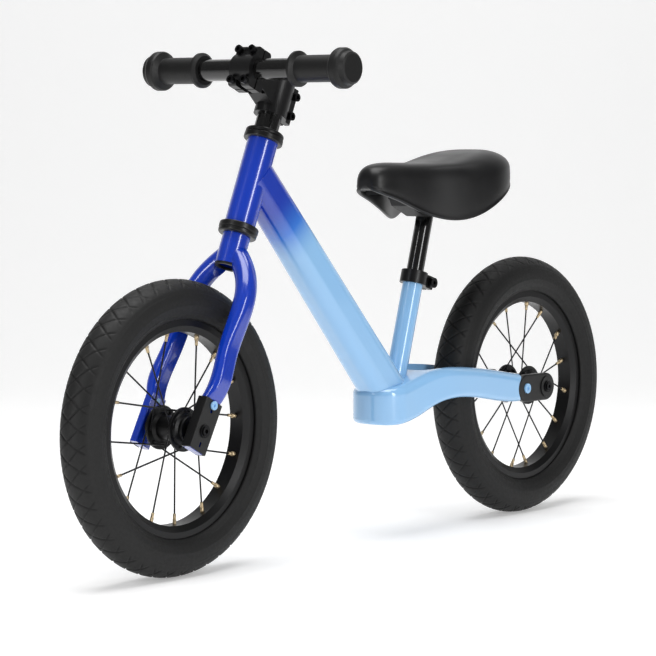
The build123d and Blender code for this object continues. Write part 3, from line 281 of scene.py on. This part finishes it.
def polyurethane_leather(saddle):
    """Polyurethane leather over moulded foam: satin black with a fine pebble, and slow patches where
    the skin is tighter and shines more."""
    made, tree = new_material("polyurethane_leather")
    place = node(tree, "ShaderNodeTexCoord")
    # pebbles 0.9 mm across
    pebble = node(
        tree, "ShaderNodeTexVoronoi", {"Vector": place.outputs["Object"], "Scale": 1 / (0.9 * MM)},
        feature="SMOOTH_F1",
    )
    tight = node(tree, "ShaderNodeTexNoise", {"Vector": place.outputs["Object"], "Scale": 1 / (30 * MM)})
    bump = node(tree, "ShaderNodeBump", {"Height": pebble.outputs["Distance"], "Distance": 0.02 * MM})
    ramp = node(tree, "ShaderNodeValToRGB", {"Fac": tight.outputs["Fac"]})
    for element, share in zip(ramp.color_ramp.elements, (0.85, 1.15)):
        element.color = tuple(c * share for c in saddle.skin[:3]) + (1,)
    surface(tree, {
        "Base Color": ramp.outputs["Color"], "Normal": bump.outputs["Normal"],
        "Roughness": between(tree, tight.outputs["Fac"], 0.33, 0.41), "Specular IOR Level": 0.4,
    })
    return made


# ---------------------------------------------------------------------------
# Mesh and Geometry Nodes helpers
# ---------------------------------------------------------------------------
def new_piece(name, points, faces=(), edges=()):
    """A mesh object at the origin with its place in its mesh."""
    mesh = bpy.data.meshes.new(name)
    mesh.from_pydata([tuple(p) for p in points], edges, faces)
    mesh.update()
    made = bpy.data.objects.new(name, mesh)
    bpy.context.scene.collection.objects.link(made)
    return made


def dress(names, finish):
    """Gives CAD nodes a material."""
    for name in names:
        slots = NODES[name].data.materials
        slots.clear()
        slots.append(finish)


def smooth(piece):
    """Shades every face smooth."""
    piece.data.polygons.foreach_set("use_smooth", [True] * len(piece.data.polygons))
    piece.data.update()


def new_tree(name, inputs):
    """A Geometry Nodes tree with named inputs, and its input and output nodes."""
    tree = bpy.data.node_groups.new(name, "GeometryNodeTree")
    tree.interface.new_socket("Geometry", in_out="INPUT", socket_type="NodeSocketGeometry")
    for label, kind in inputs:
        tree.interface.new_socket(label, in_out="INPUT", socket_type=kind)
    tree.interface.new_socket("Geometry", in_out="OUTPUT", socket_type="NodeSocketGeometry")
    return tree, node(tree, "NodeGroupInput").outputs


def end_tree(tree, geometry, material):
    """Ends a tree in realised, smooth geometry with its material."""
    real = node(tree, "GeometryNodeRealizeInstances", {"Geometry": geometry})
    shade = node(tree, "GeometryNodeSetShadeSmooth", {"Geometry": real.outputs["Geometry"]})
    coat = node(
        tree, "GeometryNodeSetMaterial", {"Geometry": shade.outputs["Geometry"], "Material": material},
    )
    node(tree, "NodeGroupOutput", {"Geometry": coat.outputs["Geometry"]})


def grow(piece, tree, values):
    """Runs a tree on a piece and keeps the result as its plain mesh."""
    modifier = piece.modifiers.new(tree.name, "NODES")
    modifier.node_group = tree
    for item in tree.interface.items_tree:
        if item.in_out == "INPUT" and item.name in values:
            modifier[item.identifier] = values[item.name]
    graph = bpy.context.evaluated_depsgraph_get()
    made = bpy.data.meshes.new_from_object(
        piece.evaluated_get(graph), preserve_all_data_layers=True, depsgraph=graph,
    )
    piece.modifiers.clear()
    piece.data = made


def maths(tree, operation, *values):
    """One Math node's result."""
    return node(tree, "ShaderNodeMath", dict(enumerate(values)), operation=operation).outputs[0]


# ---------------------------------------------------------------------------
# Tyres
# ---------------------------------------------------------------------------
TYRE_STEPS = 1180
TREAD_STEPS = 46
SIDE_STEPS = 13
TREAD_EDGE_TURN = math.radians(56)
BEAD_TURN = math.radians(142)
CASING_THICKNESS = 4.0 * MM
RIDGES = ((math.radians(66), 0.45), (math.radians(98), 0.3), (math.radians(120), 0.35))
RIDGE_SPREAD = math.radians(3.0)


def casing_section():
    """The casing's closed outline as (across, radius, distance from the crown along the skin)."""
    tread = np.linspace(-TREAD_EDGE_TURN, TREAD_EDGE_TURN, TREAD_STEPS)
    side = np.linspace(TREAD_EDGE_TURN, BEAD_TURN, SIDE_STEPS + 1)[1:]
    ridge_turns = [turn + step for turn, _ in RIDGES for step in (-RIDGE_SPREAD, 0, RIDGE_SPREAD)]
    side = np.unique(np.round(np.concatenate([side, ridge_turns]), 5))
    turns = np.concatenate([-side[::-1], tread, side])
    lift = sum(
        height * MM * np.clip(1 - np.abs(np.abs(turns) - turn) / RIDGE_SPREAD, 0, 1)
        for turn, height in RIDGES
    )
    reach = TYRE_HALF_WIDTH + lift - 0.5 * MM * (np.abs(turns) > TREAD_EDGE_TURN)
    outside = [(r * math.sin(t), CASING_CENTRE + r * math.cos(t), abs(t) * TYRE_HALF_WIDTH)
               for t, r in zip(turns, reach)]
    inner_turns = np.linspace(BEAD_TURN * 0.97, -BEAD_TURN * 0.97, 14)
    hollow = TYRE_HALF_WIDTH - CASING_THICKNESS
    inside = [(hollow * math.sin(t), CASING_CENTRE + hollow * math.cos(t), TYRE_HALF_WIDTH * BEAD_TURN)
              for t in inner_turns]
    return outside + inside


def spun(name, section, centre, steps):
    """A closed outline turned about an axle: section holds (across, radius, value) and the value goes
    into the attribute `across`."""
    section = np.array(section)
    turn = np.arange(steps) * math.tau / steps
    x = centre.x + np.outer(np.cos(turn), section[:, 1])
    y = centre.y + np.tile(section[:, 0], (steps, 1))
    z = centre.z + np.outer(np.sin(turn), section[:, 1])
    points = np.stack([x, y, z], axis=-1).reshape(-1, 3)
    count = len(section)
    here, around = np.meshgrid(np.arange(count), np.arange(steps))
    there, next_around = (here + 1) % count, (around + 1) % steps
    faces = np.stack(
        [around * count + here, around * count + there, next_around * count + there,
         next_around * count + here], axis=-1,
    ).reshape(-1, 4)
    made = new_piece(name, points, faces.tolist())
    store = made.data.attributes.new("across", "FLOAT", "POINT")
    store.data.foreach_set("value", np.tile(section[:, 2], steps))
    return made


def tread_tree(material):
    """Cuts criss-cross grooves into the crown of a casing, and notes their depth in `groove`."""
    tree, given = new_tree("tread_grooves", (
        ("Centre", "NodeSocketVector"), ("Grooves", "NodeSocketInt"), ("Depth", "NodeSocketFloat"),
        ("Width", "NodeSocketFloat"), ("Half Width", "NodeSocketFloat"), ("Crown Radius", "NodeSocketFloat"),
    ))
    spot = node(tree, "GeometryNodeInputPosition").outputs["Position"]
    arm = node(tree, "ShaderNodeVectorMath", {0: spot, 1: given["Centre"]}, operation="SUBTRACT")
    split = node(tree, "ShaderNodeSeparateXYZ", {"Vector": arm.outputs["Vector"]}).outputs
    turn = maths(tree, "ARCTAN2", split["Z"], split["X"])
    pitch = maths(tree, "DIVIDE", maths(tree, "MULTIPLY", given["Crown Radius"], math.tau), given["Grooves"])
    around = maths(tree, "MULTIPLY", maths(tree, "DIVIDE", turn, math.tau), given["Grooves"])
    across = maths(tree, "DIVIDE", split["Y"], pitch)
    share = maths(tree, "DIVIDE", given["Width"], pitch)
    cuts = []
    for lean in (0.72, -1.05):
        line = maths(tree, "PINGPONG", maths(tree, "MULTIPLY_ADD", across, lean, around), 0.5)
        cuts.append(node(
            tree, "ShaderNodeMapRange",
            {"Value": line, "From Min": maths(tree, "MULTIPLY", share, 0.35), "From Max": share,
             "To Min": 1.0, "To Max": 0.0},
            interpolation_type="SMOOTHSTEP",
        ).outputs["Result"])
    groove = maths(tree, "MAXIMUM", *cuts)
    radius = maths(tree, "SQRT", maths(
        tree, "ADD", maths(tree, "POWER", split["X"], 2.0), maths(tree, "POWER", split["Z"], 2.0)))
    on_tread = node(
        tree, "ShaderNodeMapRange",
        {"Value": maths(tree, "ABSOLUTE", split["Y"]),
         "From Min": maths(tree, "MULTIPLY", given["Half Width"], 0.86),
         "From Max": given["Half Width"], "To Min": 1.0, "To Max": 0.0},
    ).outputs["Result"]
    outside = maths(tree, "GREATER_THAN", radius, maths(tree, "SUBTRACT", given["Crown Radius"], 12.5 * MM))
    groove = maths(tree, "MULTIPLY", maths(tree, "MULTIPLY", groove, on_tread), outside)
    noted = node(
        tree, "GeometryNodeStoreNamedAttribute",
        {"Geometry": given["Geometry"], "Name": "groove", "Value": groove}, data_type="FLOAT", domain="POINT",
    )
    flat = node(tree, "ShaderNodeCombineXYZ", {"X": split["X"], "Z": split["Z"]})
    outward = node(tree, "ShaderNodeVectorMath", {0: flat.outputs["Vector"]}, operation="NORMALIZE")
    sink = node(
        tree, "ShaderNodeVectorMath",
        {0: outward.outputs["Vector"], "Scale": maths(
            tree, "MULTIPLY", groove, maths(tree, "MULTIPLY", given["Depth"], -1.0))},
        operation="SCALE",
    )
    moved = node(
        tree, "GeometryNodeSetPosition",
        {"Geometry": noted.outputs["Geometry"], "Offset": sink.outputs["Vector"]},
    )
    end_tree(tree, moved.outputs["Geometry"], material)
    return tree


class BIKE_OT_tyres(bpy.types.Operator):
    """Build both tyres with their grooved tread."""

    bl_idname = "bike.tyres"
    bl_label = "Tyres"

    def execute(self, context):
        tyre = context.scene.bike_tyre
        tree = tread_tree(moulded_tyre_rubber(tyre))
        for wheel in WHEELS:
            piece = spun(f"{wheel}_tyre_casing", casing_section(), WHEEL_CENTRE[wheel], TYRE_STEPS)
            grow(piece, tree, {
                "Centre": WHEEL_CENTRE[wheel], "Grooves": tyre.grooves, "Depth": tyre.depth,
                "Width": tyre.width, "Half Width": tyre.tread_half, "Crown Radius": TYRE_RADIUS,
            })
            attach(piece, f"{wheel}_wheel")
            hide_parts(f"{wheel}_tyre")
        return {"FINISHED"}


# ---------------------------------------------------------------------------
# Spokes and nipples
# ---------------------------------------------------------------------------
SPOKES = 16
SPOKE_CIRCLE = 17.8 * MM
FLANGE_Y = 15 * MM
FLANGE_STEP = 2.1 * MM
RIM_STEP = 1.6 * MM
RIM_HOLE_RADIUS = RIM_RADIUS - 9.5 * MM


def on_wheel(wheel, turn, radius, across):
    """A point of a wheel at a turn from straight ahead, a radius, and a place across it."""
    centre = WHEEL_CENTRE[wheel]
    return Vector((
        centre.x + radius * math.cos(turn), centre.y + across, centre.z + radius * math.sin(turn)))


def spoke_lines(wheel):
    """Each spoke as three points: its head inside the flange, its elbow, and its end at the rim."""
    arm = centre_of(f"{wheel}_valve") - WHEEL_CENTRE[wheel]
    valve_turn = math.atan2(arm.z, arm.x)
    lines = []
    for hole in range(SPOKES):
        side = 1 if hole % 2 == 0 else -1
        lead = 1 if (hole // 2) % 2 == 0 else -1
        turn = valve_turn + (hole + 0.5) * math.tau / SPOKES
        hub_turn = turn - lead * math.pi / 2
        lines.append((
            on_wheel(wheel, hub_turn, SPOKE_CIRCLE, side * FLANGE_Y - lead * FLANGE_STEP),
            on_wheel(wheel, hub_turn, SPOKE_CIRCLE, side * FLANGE_Y + lead * FLANGE_STEP),
            on_wheel(wheel, turn, RIM_HOLE_RADIUS, side * RIM_STEP),
        ))
    return lines


def wire_piece(name, lines):
    """A mesh of edges, one run for each line of three points."""
    points = [point for line in lines for point in line]
    edges = [(start + step, start + step + 1) for start in range(0, len(points), 3) for step in (0, 1)]
    return new_piece(name, points, edges=edges)


def spoke_tree(material):
    """Round wire along each run of edges, with a button head at its first point."""
    tree, given = new_tree("laced_spokes", (("Radius", "NodeSocketFloat"),))
    runs = node(tree, "GeometryNodeMeshToCurve", {"Mesh": given["Geometry"]}).outputs["Curve"]
    ring = node(
        tree, "GeometryNodeCurvePrimitiveCircle", {"Resolution": 12, "Radius": given["Radius"]},
    ).outputs["Curve"]
    wire = node(
        tree, "GeometryNodeCurveToMesh", {"Curve": runs, "Profile Curve": ring, "Fill Caps": True},
    ).outputs["Mesh"]
    spots = node(tree, "GeometryNodeCurveToPoints", {"Curve": runs}, mode="EVALUATED").outputs
    index = node(tree, "GeometryNodeInputIndex").outputs["Index"]
    first = maths(tree, "LESS_THAN", maths(tree, "MODULO", index, 3.0), 0.5)
    ball = node(
        tree, "GeometryNodeMeshUVSphere",
        {"Segments": 14, "Rings": 8, "Radius": maths(tree, "MULTIPLY", given["Radius"], 2.0)},
    ).outputs["Mesh"]
    heads = node(
        tree, "GeometryNodeInstanceOnPoints",
        {"Points": spots["Points"], "Instance": ball, "Selection": first, "Rotation": spots["Rotation"],
         "Scale": (1, 1, 0.55)},
    ).outputs["Instances"]
    joined = node(tree, "GeometryNodeJoinGeometry")
    for part in (wire, heads):
        tree.links.new(part, joined.inputs["Geometry"])
    end_tree(tree, joined.outputs["Geometry"], material)
    return tree


def nipple_tree(material):
    """A nipple at the last point of each run: a tapered barrel, and flats for the key beside the rim."""
    tree, given = new_tree("spoke_nipples", (("Radius", "NodeSocketFloat"), ("Length", "NodeSocketFloat")))
    runs = node(tree, "GeometryNodeMeshToCurve", {"Mesh": given["Geometry"]}).outputs["Curve"]
    spots = node(tree, "GeometryNodeCurveToPoints", {"Curve": runs}, mode="EVALUATED").outputs
    index = node(tree, "GeometryNodeInputIndex").outputs["Index"]
    last = maths(tree, "GREATER_THAN", maths(tree, "MODULO", index, 3.0), 1.5)
    barrel = node(
        tree, "GeometryNodeMeshCone",
        {"Vertices": 16, "Side Segments": 4, "Radius Top": maths(tree, "MULTIPLY", given["Radius"], 0.8),
         "Radius Bottom": given["Radius"], "Depth": given["Length"]},
    ).outputs["Mesh"]
    flats = node(
        tree, "GeometryNodeMeshCone",
        {"Vertices": 4, "Radius Top": maths(tree, "MULTIPLY", given["Radius"], 1.28),
         "Radius Bottom": maths(tree, "MULTIPLY", given["Radius"], 1.28),
         "Depth": maths(tree, "MULTIPLY", given["Length"], 0.62)},
    ).outputs["Mesh"]
    both = node(tree, "GeometryNodeJoinGeometry")
    for part in (barrel, flats):
        tree.links.new(part, both.inputs["Geometry"])
    inward = node(
        tree, "ShaderNodeVectorMath", {0: spots["Tangent"], "Scale": -1.0}, operation="SCALE",
    ).outputs["Vector"]
    aim = node(tree, "FunctionNodeAlignRotationToVector", {"Vector": inward}, axis="Z").outputs["Rotation"]
    nipples = node(
        tree, "GeometryNodeInstanceOnPoints",
        {"Points": spots["Points"], "Instance": both.outputs["Geometry"], "Selection": last,
         "Rotation": aim},
    ).outputs["Instances"]
    end_tree(tree, nipples, material)
    return tree


class BIKE_OT_spokes(bpy.types.Operator):
    """Lace both wheels with spokes and nipples."""

    bl_idname = "bike.spokes"
    bl_label = "Spokes"

    def execute(self, context):
        wheel_looks = context.scene.bike_wheel
        # Black coated spring wire: smooth and dark, with a thin bright line down each wire.
        wire = plain_finish("coated_spring_wire", linear("#17171A"), 0.6, 0.32, 0.8 * MM, 0.01 * MM)
        # Nickel washed brass: warm pale metal, dulled in patches.
        brass = plain_finish("nickel_washed_brass", wheel_looks.brass, 0.75, 0.38, 1.2 * MM, 0.01 * MM)
        spokes, nipples = spoke_tree(wire), nipple_tree(brass)
        for wheel in WHEELS:
            lines = spoke_lines(wheel)
            for name, tree, values, node_name, slot in (
                ("spoke_wires", spokes, {"Radius": wheel_looks.spoke_radius}, "spokes", "spoke_black"),
                ("nipple_set", nipples, {"Radius": wheel_looks.nipple_radius,
                                         "Length": wheel_looks.nipple_length}, "nipples", "nipple_brass"),
            ):
                piece = wire_piece(f"{wheel}_{name}", lines)
                grow(piece, tree, values)
                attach(piece, f"{wheel}_wheel")
                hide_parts(f"{wheel}_{node_name}")
        return {"FINISHED"}


# ---------------------------------------------------------------------------
# Saddle
# ---------------------------------------------------------------------------
# Stations from nose to tail: distance back, half width, low edge, side height, crown height, all mm.
SADDLE_STATIONS = (
    (10.2, 9, 376, 381, 389),
    (13, 13, 374, 381.5, 396),
    (18, 17, 371.5, 382, 400.5),
    (28, 20.5, 368, 384, 403.5),
    (43, 23, 363.5, 385, 405),
    (59, 25.5, 357, 385, 405),
    (76, 29, 350, 384, 405),
    (92, 35.5, 344.5, 382, 405.5),
    (108, 43.5, 341, 380, 407),
    (125, 51.5, 341.5, 380, 408.5),
    (141, 57.5, 346, 382, 411),
    (158, 61.0, 353.5, 385, 414.5),
    (174, 61.2, 361.5, 389, 417.5),
    (189, 58.5, 369, 392.5, 419),
    (202, 53, 375, 395, 418.5),
    (213, 45, 380.5, 397, 415.5),
    (221, 35, 385, 397.5, 410.5),
    (226.5, 23, 389, 397.5, 405),
    (229.3, 12, 392, 396.5, 400.5),
)
SKIRT_WALL = 5.4
BEAD = 1.3
CROWN_STEPS = 13
HOLLOW_TOP = centre_of("saddle_base").z / MM + 2.3


def saddle_ring(back, half, low, side, high):
    """One closed cross-section, in mm, from the middle underneath, round the left skirt and over."""
    floor = max(HOLLOW_TOP, low + 1.6)
    wall = min(SKIRT_WALL, half * 0.4)
    right = [
        (0, floor), (half - wall - 2.5, floor), (half - wall, floor - 0.3), (half - wall, low + 1.2),
        (half - wall * 0.75, low - 0.2), (half - 1.2, low - 0.4), (half + BEAD * 0.5, low + 0.6),
        (half + BEAD * 0.5, low + 2.0), (half - 0.4, low + 3.2),
    ]
    for step in range(3):
        share = (step + 1) / 4
        right.append((half + 0.4 * math.sin(share * math.pi), low + 3.2 + (side - low - 3.2) * share))
    for step in range(CROWN_STEPS):
        turn = step / (CROWN_STEPS - 1) * math.pi / 2
        right.append((half * math.cos(turn) ** 0.82, side + (high - side) * math.sin(turn) ** 0.9))
    left = [(-y, z) for y, z in right[1:-1]]
    return [(-back * MM, y * MM, z * MM) for y, z in right + left[::-1]]


def saddle_shell():
    """The saddle as a closed skin, with a hollow underneath for its base plate."""
    stations = np.array(SADDLE_STATIONS)
    rings = [saddle_ring(*station) for station in stations]
    count = len(rings[0])
    points = [point for ring in rings for point in ring]
    faces = [
        (row * count + k, row * count + (k + 1) % count, (row + 1) * count + (k + 1) % count,
         (row + 1) * count + k)
        for row in range(len(rings) - 1) for k in range(count)
    ]
    for row, flip in ((0, True), (len(rings) - 1, False)):
        middle = len(points)
        ring = rings[row]
        points.append(tuple(np.mean(ring, axis=0)))
        for k in range(count):
            face = (row * count + k, row * count + (k + 1) % count, middle)
            faces.append(face[::-1] if flip else face)
    return new_piece("saddle_cover", points, faces)


def puff_up(piece, limit):
    """Swells the saddle's foam with a short pressure simulation; the skirt and hollow stay put."""
    mesh = piece.data
    rest = np.array([v.co for v in mesh.vertices])
    hold = piece.vertex_groups.new(name="held")
    for vertex in mesh.vertices:
        height = vertex.co.z / MM
        held = 1.0 if height < 386 or vertex.co.x > -16 * MM or vertex.co.x < -222 * MM else 0.0
        hold.add([vertex.index], held, "REPLACE")
    cloth = piece.modifiers.new("foam", "CLOTH")
    cloth.settings.vertex_group_mass = hold.name
    cloth.settings.use_pressure = True
    cloth.settings.uniform_pressure_force = 4
    cloth.settings.effector_weights.gravity = 0
    cloth.settings.tension_stiffness = cloth.settings.compression_stiffness = 30
    cloth.settings.bending_stiffness = 4
    scene = bpy.context.scene
    for step in range(1, 21):
        scene.frame_set(step)
    graph = bpy.context.evaluated_depsgraph_get()
    swollen = piece.evaluated_get(graph).to_mesh()
    after = np.array([v.co for v in swollen.vertices])
    piece.modifiers.clear()
    piece.vertex_groups.clear()
    scene.frame_set(1)
    shift = after - rest
    far = np.linalg.norm(shift, axis=1, keepdims=True)
    shift *= np.minimum(1, limit / np.maximum(far, 1e-9))
    mesh.vertices.foreach_set("co", (rest + shift).ravel())
    mesh.update()


class BIKE_OT_saddle(bpy.types.Operator):
    """Build the padded saddle cover."""

    bl_idname = "bike.saddle"
    bl_label = "Saddle"

    def execute(self, context):
        saddle = context.scene.bike_saddle
        piece = saddle_shell()
        puff_up(piece, saddle.puff)
        rounded = piece.modifiers.new("rounded", "SUBSURF")
        rounded.levels = rounded.render_levels = 2
        graph = bpy.context.evaluated_depsgraph_get()
        piece.data = bpy.data.meshes.new_from_object(piece.evaluated_get(graph))
        piece.modifiers.clear()
        smooth(piece)
        piece.data.materials.append(polyurethane_leather(saddle))
        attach(piece, "seat")
        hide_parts("saddle_pad")
        # Moulded polypropylene: dull black with a fine spark-eroded texture.
        dress(
            ("saddle_base", "saddle_bracket"),
            plain_finish(
                "moulded_polypropylene", linear("#101011"), 0.0, 0.5, 0.7 * MM, 0.03 * MM,
                Specular_IOR_Level=0.3),
        )
        return {"FINISHED"}


# ---------------------------------------------------------------------------
# Finishes of the CAD pieces
# ---------------------------------------------------------------------------
class BIKE_OT_frame_paint(bpy.types.Operator):
    """Spray the frame and the fork."""

    bl_idname = "bike.frame_paint"
    bl_label = "Frame paint"

    def execute(self, context):
        paint = context.scene.bike_paint
        dress(("head_tube", "down_tube", "seat_tube", "rear_yoke"), two_tone_powder_coat(paint))
        # Powder coated steel in one colour, with the same wet gloss.
        dress(
            ("fork_crown", "fork_leg_left", "fork_leg_right"),
            plain_finish(
                "powder_coated_steel_royal", tuple(paint.royal), 0.0, 0.22, 2.2 * MM, 0.01 * MM,
                Coat_Weight=1.0, Coat_Roughness=0.03,
            ),
        )
        # Enamelled button heads, the lower frame's colour.
        dress(
            ("rear_dropout_screws", "fork_screws"),
            plain_finish(
                "enamelled_steel_sky", tuple(paint.sky), 0.0, 0.3, 1.5 * MM, 0.01 * MM, Coat_Weight=0.5),
        )
        return {"FINISHED"}


class BIKE_OT_cockpit(bpy.types.Operator):
    """Finish the bar, stem, headset, seatpost, clamps and grips."""

    bl_idname = "bike.cockpit"
    bl_label = "Bar, stem and posts"

    def execute(self, context):
        # Gloss black enamel: a hard wet shine with sharp strip reflections.
        dress(
            ("handlebar", "seatpost", "steerer_tube"),
            plain_finish(
                "gloss_black_enamel", linear("#080808"), 0.0, 0.16, 2.5 * MM, 0.008 * MM, Coat_Weight=0.6,
                Coat_Roughness=0.04,
            ),
        )
        # Satin black coated forging: even, slightly sandy black.
        dress(
            ("stem_body", "stem_faceplate", "stem_top_cap", "seat_collar", "headset_cup_upper",
             "headset_cup_lower", "headset_top_cover", "crown_race", "rear_dropout_left",
             "rear_dropout_right", "dropout_shoe_left", "dropout_plate_right"),
            plain_finish(
                "satin_black_coated_alloy", linear("#0C0C0D"), 0.0, 0.34, 0.9 * MM, 0.02 * MM,
                Specular_IOR_Level=0.4,
            ),
        )
        # Black oxide steel: near black with a faint oily metal shine.
        dress(
            ("faceplate_bolts", "stem_clamp_bolts", "top_cap_bolt", "seat_collar_bolt", "front_axle_bolts",
             "rear_axle_bolts", "saddle_bolts"),
            plain_finish("black_oxide_steel", linear("#1E1E20"), 0.85, 0.34, 0.8 * MM, 0.015 * MM),
        )
        # Moulded grip rubber: soft satin black, slightly chalky.
        dress(
            ("grip_left", "grip_right", "crown_plug"),
            plain_finish(
                "moulded_grip_rubber", linear("#0C0C0C"), 0.0, 0.46, 1.0 * MM, 0.035 * MM,
                Specular_IOR_Level=0.35),
        )
        return {"FINISHED"}


class BIKE_OT_wheel_metal(bpy.types.Operator):
    """Finish the rims, hubs, axles, bearings and tubes."""

    bl_idname = "bike.wheel_metal"
    bl_label = "Rims and hubs"

    def execute(self, context):
        # Black anodised aluminium: satin, with the faint lines of the extrusion.
        dress(
            [f"{wheel}_{part}" for wheel in WHEELS for part in ("rim", "hub_shell", "axle", "bearings")],
            plain_finish("anodised_aluminium_black", linear("#111112"), 0.5, 0.36, 1.0 * MM, 0.015 * MM),
        )
        # Ground steel: bright and fine, with turning marks round it.
        dress(
            ("headset_bearing_upper", "headset_bearing_lower", "star_nut"),
            plain_finish(
                "ground_bearing_steel", linear("#B9BBBF"), 1.0, 0.26, 0.5 * MM, 0.01 * MM, (1, 6, 1)),
        )
        # Butyl rubber: smooth dull black.
        dress(
            [f"{wheel}_{part}" for wheel in WHEELS for part in ("inner_tube", "valve")],
            plain_finish("butyl_rubber", linear("#151516"), 0.0, 0.5, 1.5 * MM, 0.02 * MM),
        )
        return {"FINISHED"}


# ---------------------------------------------------------------------------
# Stage
# ---------------------------------------------------------------------------
CAMERA_PLACE = Vector((2.22405, 1.77477, 0.44249))
CAMERA_AIM = Vector((0.0515, 0.0, 0.2318))
AMBIENT = 0.16
PAPER_GLOW = 0.28
SENSOR_WIDTH = 36.0
LEFT_STRIP_SHARE = 0.45
FRONT_STRIP_SHARE = 0.4
FLOOR_REACH = 5.0
SWEEP_START = 1.6
SWEEP_RADIUS = 1.2
SWEEP_STEPS = 24
WALL_HEIGHT = 4.0


def look_from(made, place, aim):
    """Puts a light or camera at a place, looking at a point."""
    made.location = place
    made.rotation_euler = (Vector(aim) - Vector(place)).to_track_quat("-Z", "Y").to_euler()


def soft_light(name, place, aim, size, size_y, power):
    """A rectangular soft light."""
    lamp = bpy.data.lights.new(name, "AREA")
    lamp.shape = "RECTANGLE"
    lamp.size, lamp.size_y, lamp.energy = size, size_y, power
    made = bpy.data.objects.new(name, lamp)
    bpy.context.scene.collection.objects.link(made)
    look_from(made, place, aim)


class BIKE_OT_stage(bpy.types.Operator):
    """Set up the paper sweep, the soft lights and the camera."""

    bl_idname = "bike.stage"
    bl_label = "Stage"

    def execute(self, context):
        stage = context.scene.bike_stage
        away = Vector((CAMERA_AIM.x - CAMERA_PLACE.x, CAMERA_AIM.y - CAMERA_PLACE.y, 0)).normalized()
        aside = Vector((-away.y, away.x, 0))
        outline = [(-FLOOR_REACH, 0.0), (SWEEP_START, 0.0)]
        for step in range(1, SWEEP_STEPS + 1):
            turn = step / SWEEP_STEPS * math.pi / 2
            outline.append((SWEEP_START + SWEEP_RADIUS * math.sin(turn), SWEEP_RADIUS * (1 - math.cos(turn))))
        outline.append((SWEEP_START + SWEEP_RADIUS, WALL_HEIGHT))
        points = [
            away * distance + aside * side + Vector((0, 0, height))
            for distance, height in outline for side in (FLOOR_REACH, -FLOOR_REACH)
        ]
        faces = [(2 * k, 2 * k + 1, 2 * k + 3, 2 * k + 2) for k in range(len(outline) - 1)]
        floor = new_piece("paper_sweep", points, faces)
        smooth(floor)
        # Matt white backdrop paper: pale, with a barely visible fibre and a faint glow of its own.
        floor.data.materials.append(
            plain_finish("matt_backdrop_paper", linear("#F4F4F4"), 0.0, 0.9, 2.0 * MM, 0.01 * MM,
                         Emission_Color=(1, 1, 1, 1), Emission_Strength=PAPER_GLOW))
        world = bpy.data.worlds.new("studio")
        world.use_nodes = True
        world.node_tree.nodes.clear()
        ray = node(world.node_tree, "ShaderNodeLightPath").outputs["Is Camera Ray"]
        strength = node(
            world.node_tree, "ShaderNodeMapRange", {"Value": ray, "To Min": AMBIENT, "To Max": 1.0},
        ).outputs["Result"]
        glow = node(world.node_tree, "ShaderNodeBackground", {"Color": (1, 1, 1, 1), "Strength": strength})
        node(world.node_tree, "ShaderNodeOutputWorld", {"Surface": glow.outputs["Background"]})
        context.scene.world = world
        soft_light("overhead", (0.2, 0.1, 2.3), (0, 0, 0.2), 1.8, 1.8, stage.power)
        soft_light("strip_left", (0.5, 2.3, 0.9), (0, 0, 0.3), 0.35, 1.8, stage.power * LEFT_STRIP_SHARE)
        soft_light("strip_front", (2.6, -0.2, 1.0), (0, 0, 0.3), 0.35, 1.8, stage.power * FRONT_STRIP_SHARE)
        lens = bpy.data.cameras.new("camera")
        lens.lens = stage.lens
        lens.sensor_width = SENSOR_WIDTH
        camera = bpy.data.objects.new("camera", lens)
        context.scene.collection.objects.link(camera)
        look_from(camera, CAMERA_PLACE, CAMERA_AIM)
        context.scene.camera = camera
        # A plain display transform, which leaves the white paper close to white.
        context.scene.view_settings.view_transform = "Standard"
        return {"FINISHED"}


# ---------------------------------------------------------------------------
# Add-on
# ---------------------------------------------------------------------------
SETTINGS = {
    "bike_paint": BikePaint, "bike_tyre": BikeTyre, "bike_wheel": BikeWheel, "bike_saddle": BikeSaddle,
    "bike_stage": BikeStage,
}
OPERATORS = (
    BIKE_OT_frame_paint, BIKE_OT_cockpit, BIKE_OT_wheel_metal, BIKE_OT_tyres, BIKE_OT_spokes, BIKE_OT_saddle,
    BIKE_OT_stage,
)


class BIKE_PT_panel(bpy.types.Panel):
    """The bike's settings and pieces."""

    bl_idname = "BIKE_PT_panel"
    bl_label = "Balance bike"
    bl_space_type = "VIEW_3D"
    bl_region_type = "UI"
    bl_category = "Bike"

    def draw(self, context):
        for operator in OPERATORS:
            self.layout.operator(operator.bl_idname)
        for name, group in SETTINGS.items():
            box = self.layout.box()
            for field in group.__annotations__:
                box.prop(getattr(context.scene, name), field)


CLASSES = (*SETTINGS.values(), *OPERATORS, BIKE_PT_panel)


def register():
    """Registers the classes and puts the settings on the scene."""
    for item in CLASSES:
        bpy.utils.register_class(item)
    for name, group in SETTINGS.items():
        setattr(bpy.types.Scene, name, PointerProperty(type=group))


def unregister():
    """Takes the settings and classes away again."""
    for name in SETTINGS:
        delattr(bpy.types.Scene, name)
    for item in reversed(CLASSES):
        bpy.utils.unregister_class(item)


def main():
    """Registers the add-on and builds everything in order."""
    register()
    for operator in OPERATORS:
        group, name = operator.bl_idname.split(".")
        getattr(getattr(bpy.ops, group), name)()


if __name__ == "__main__":
    main()
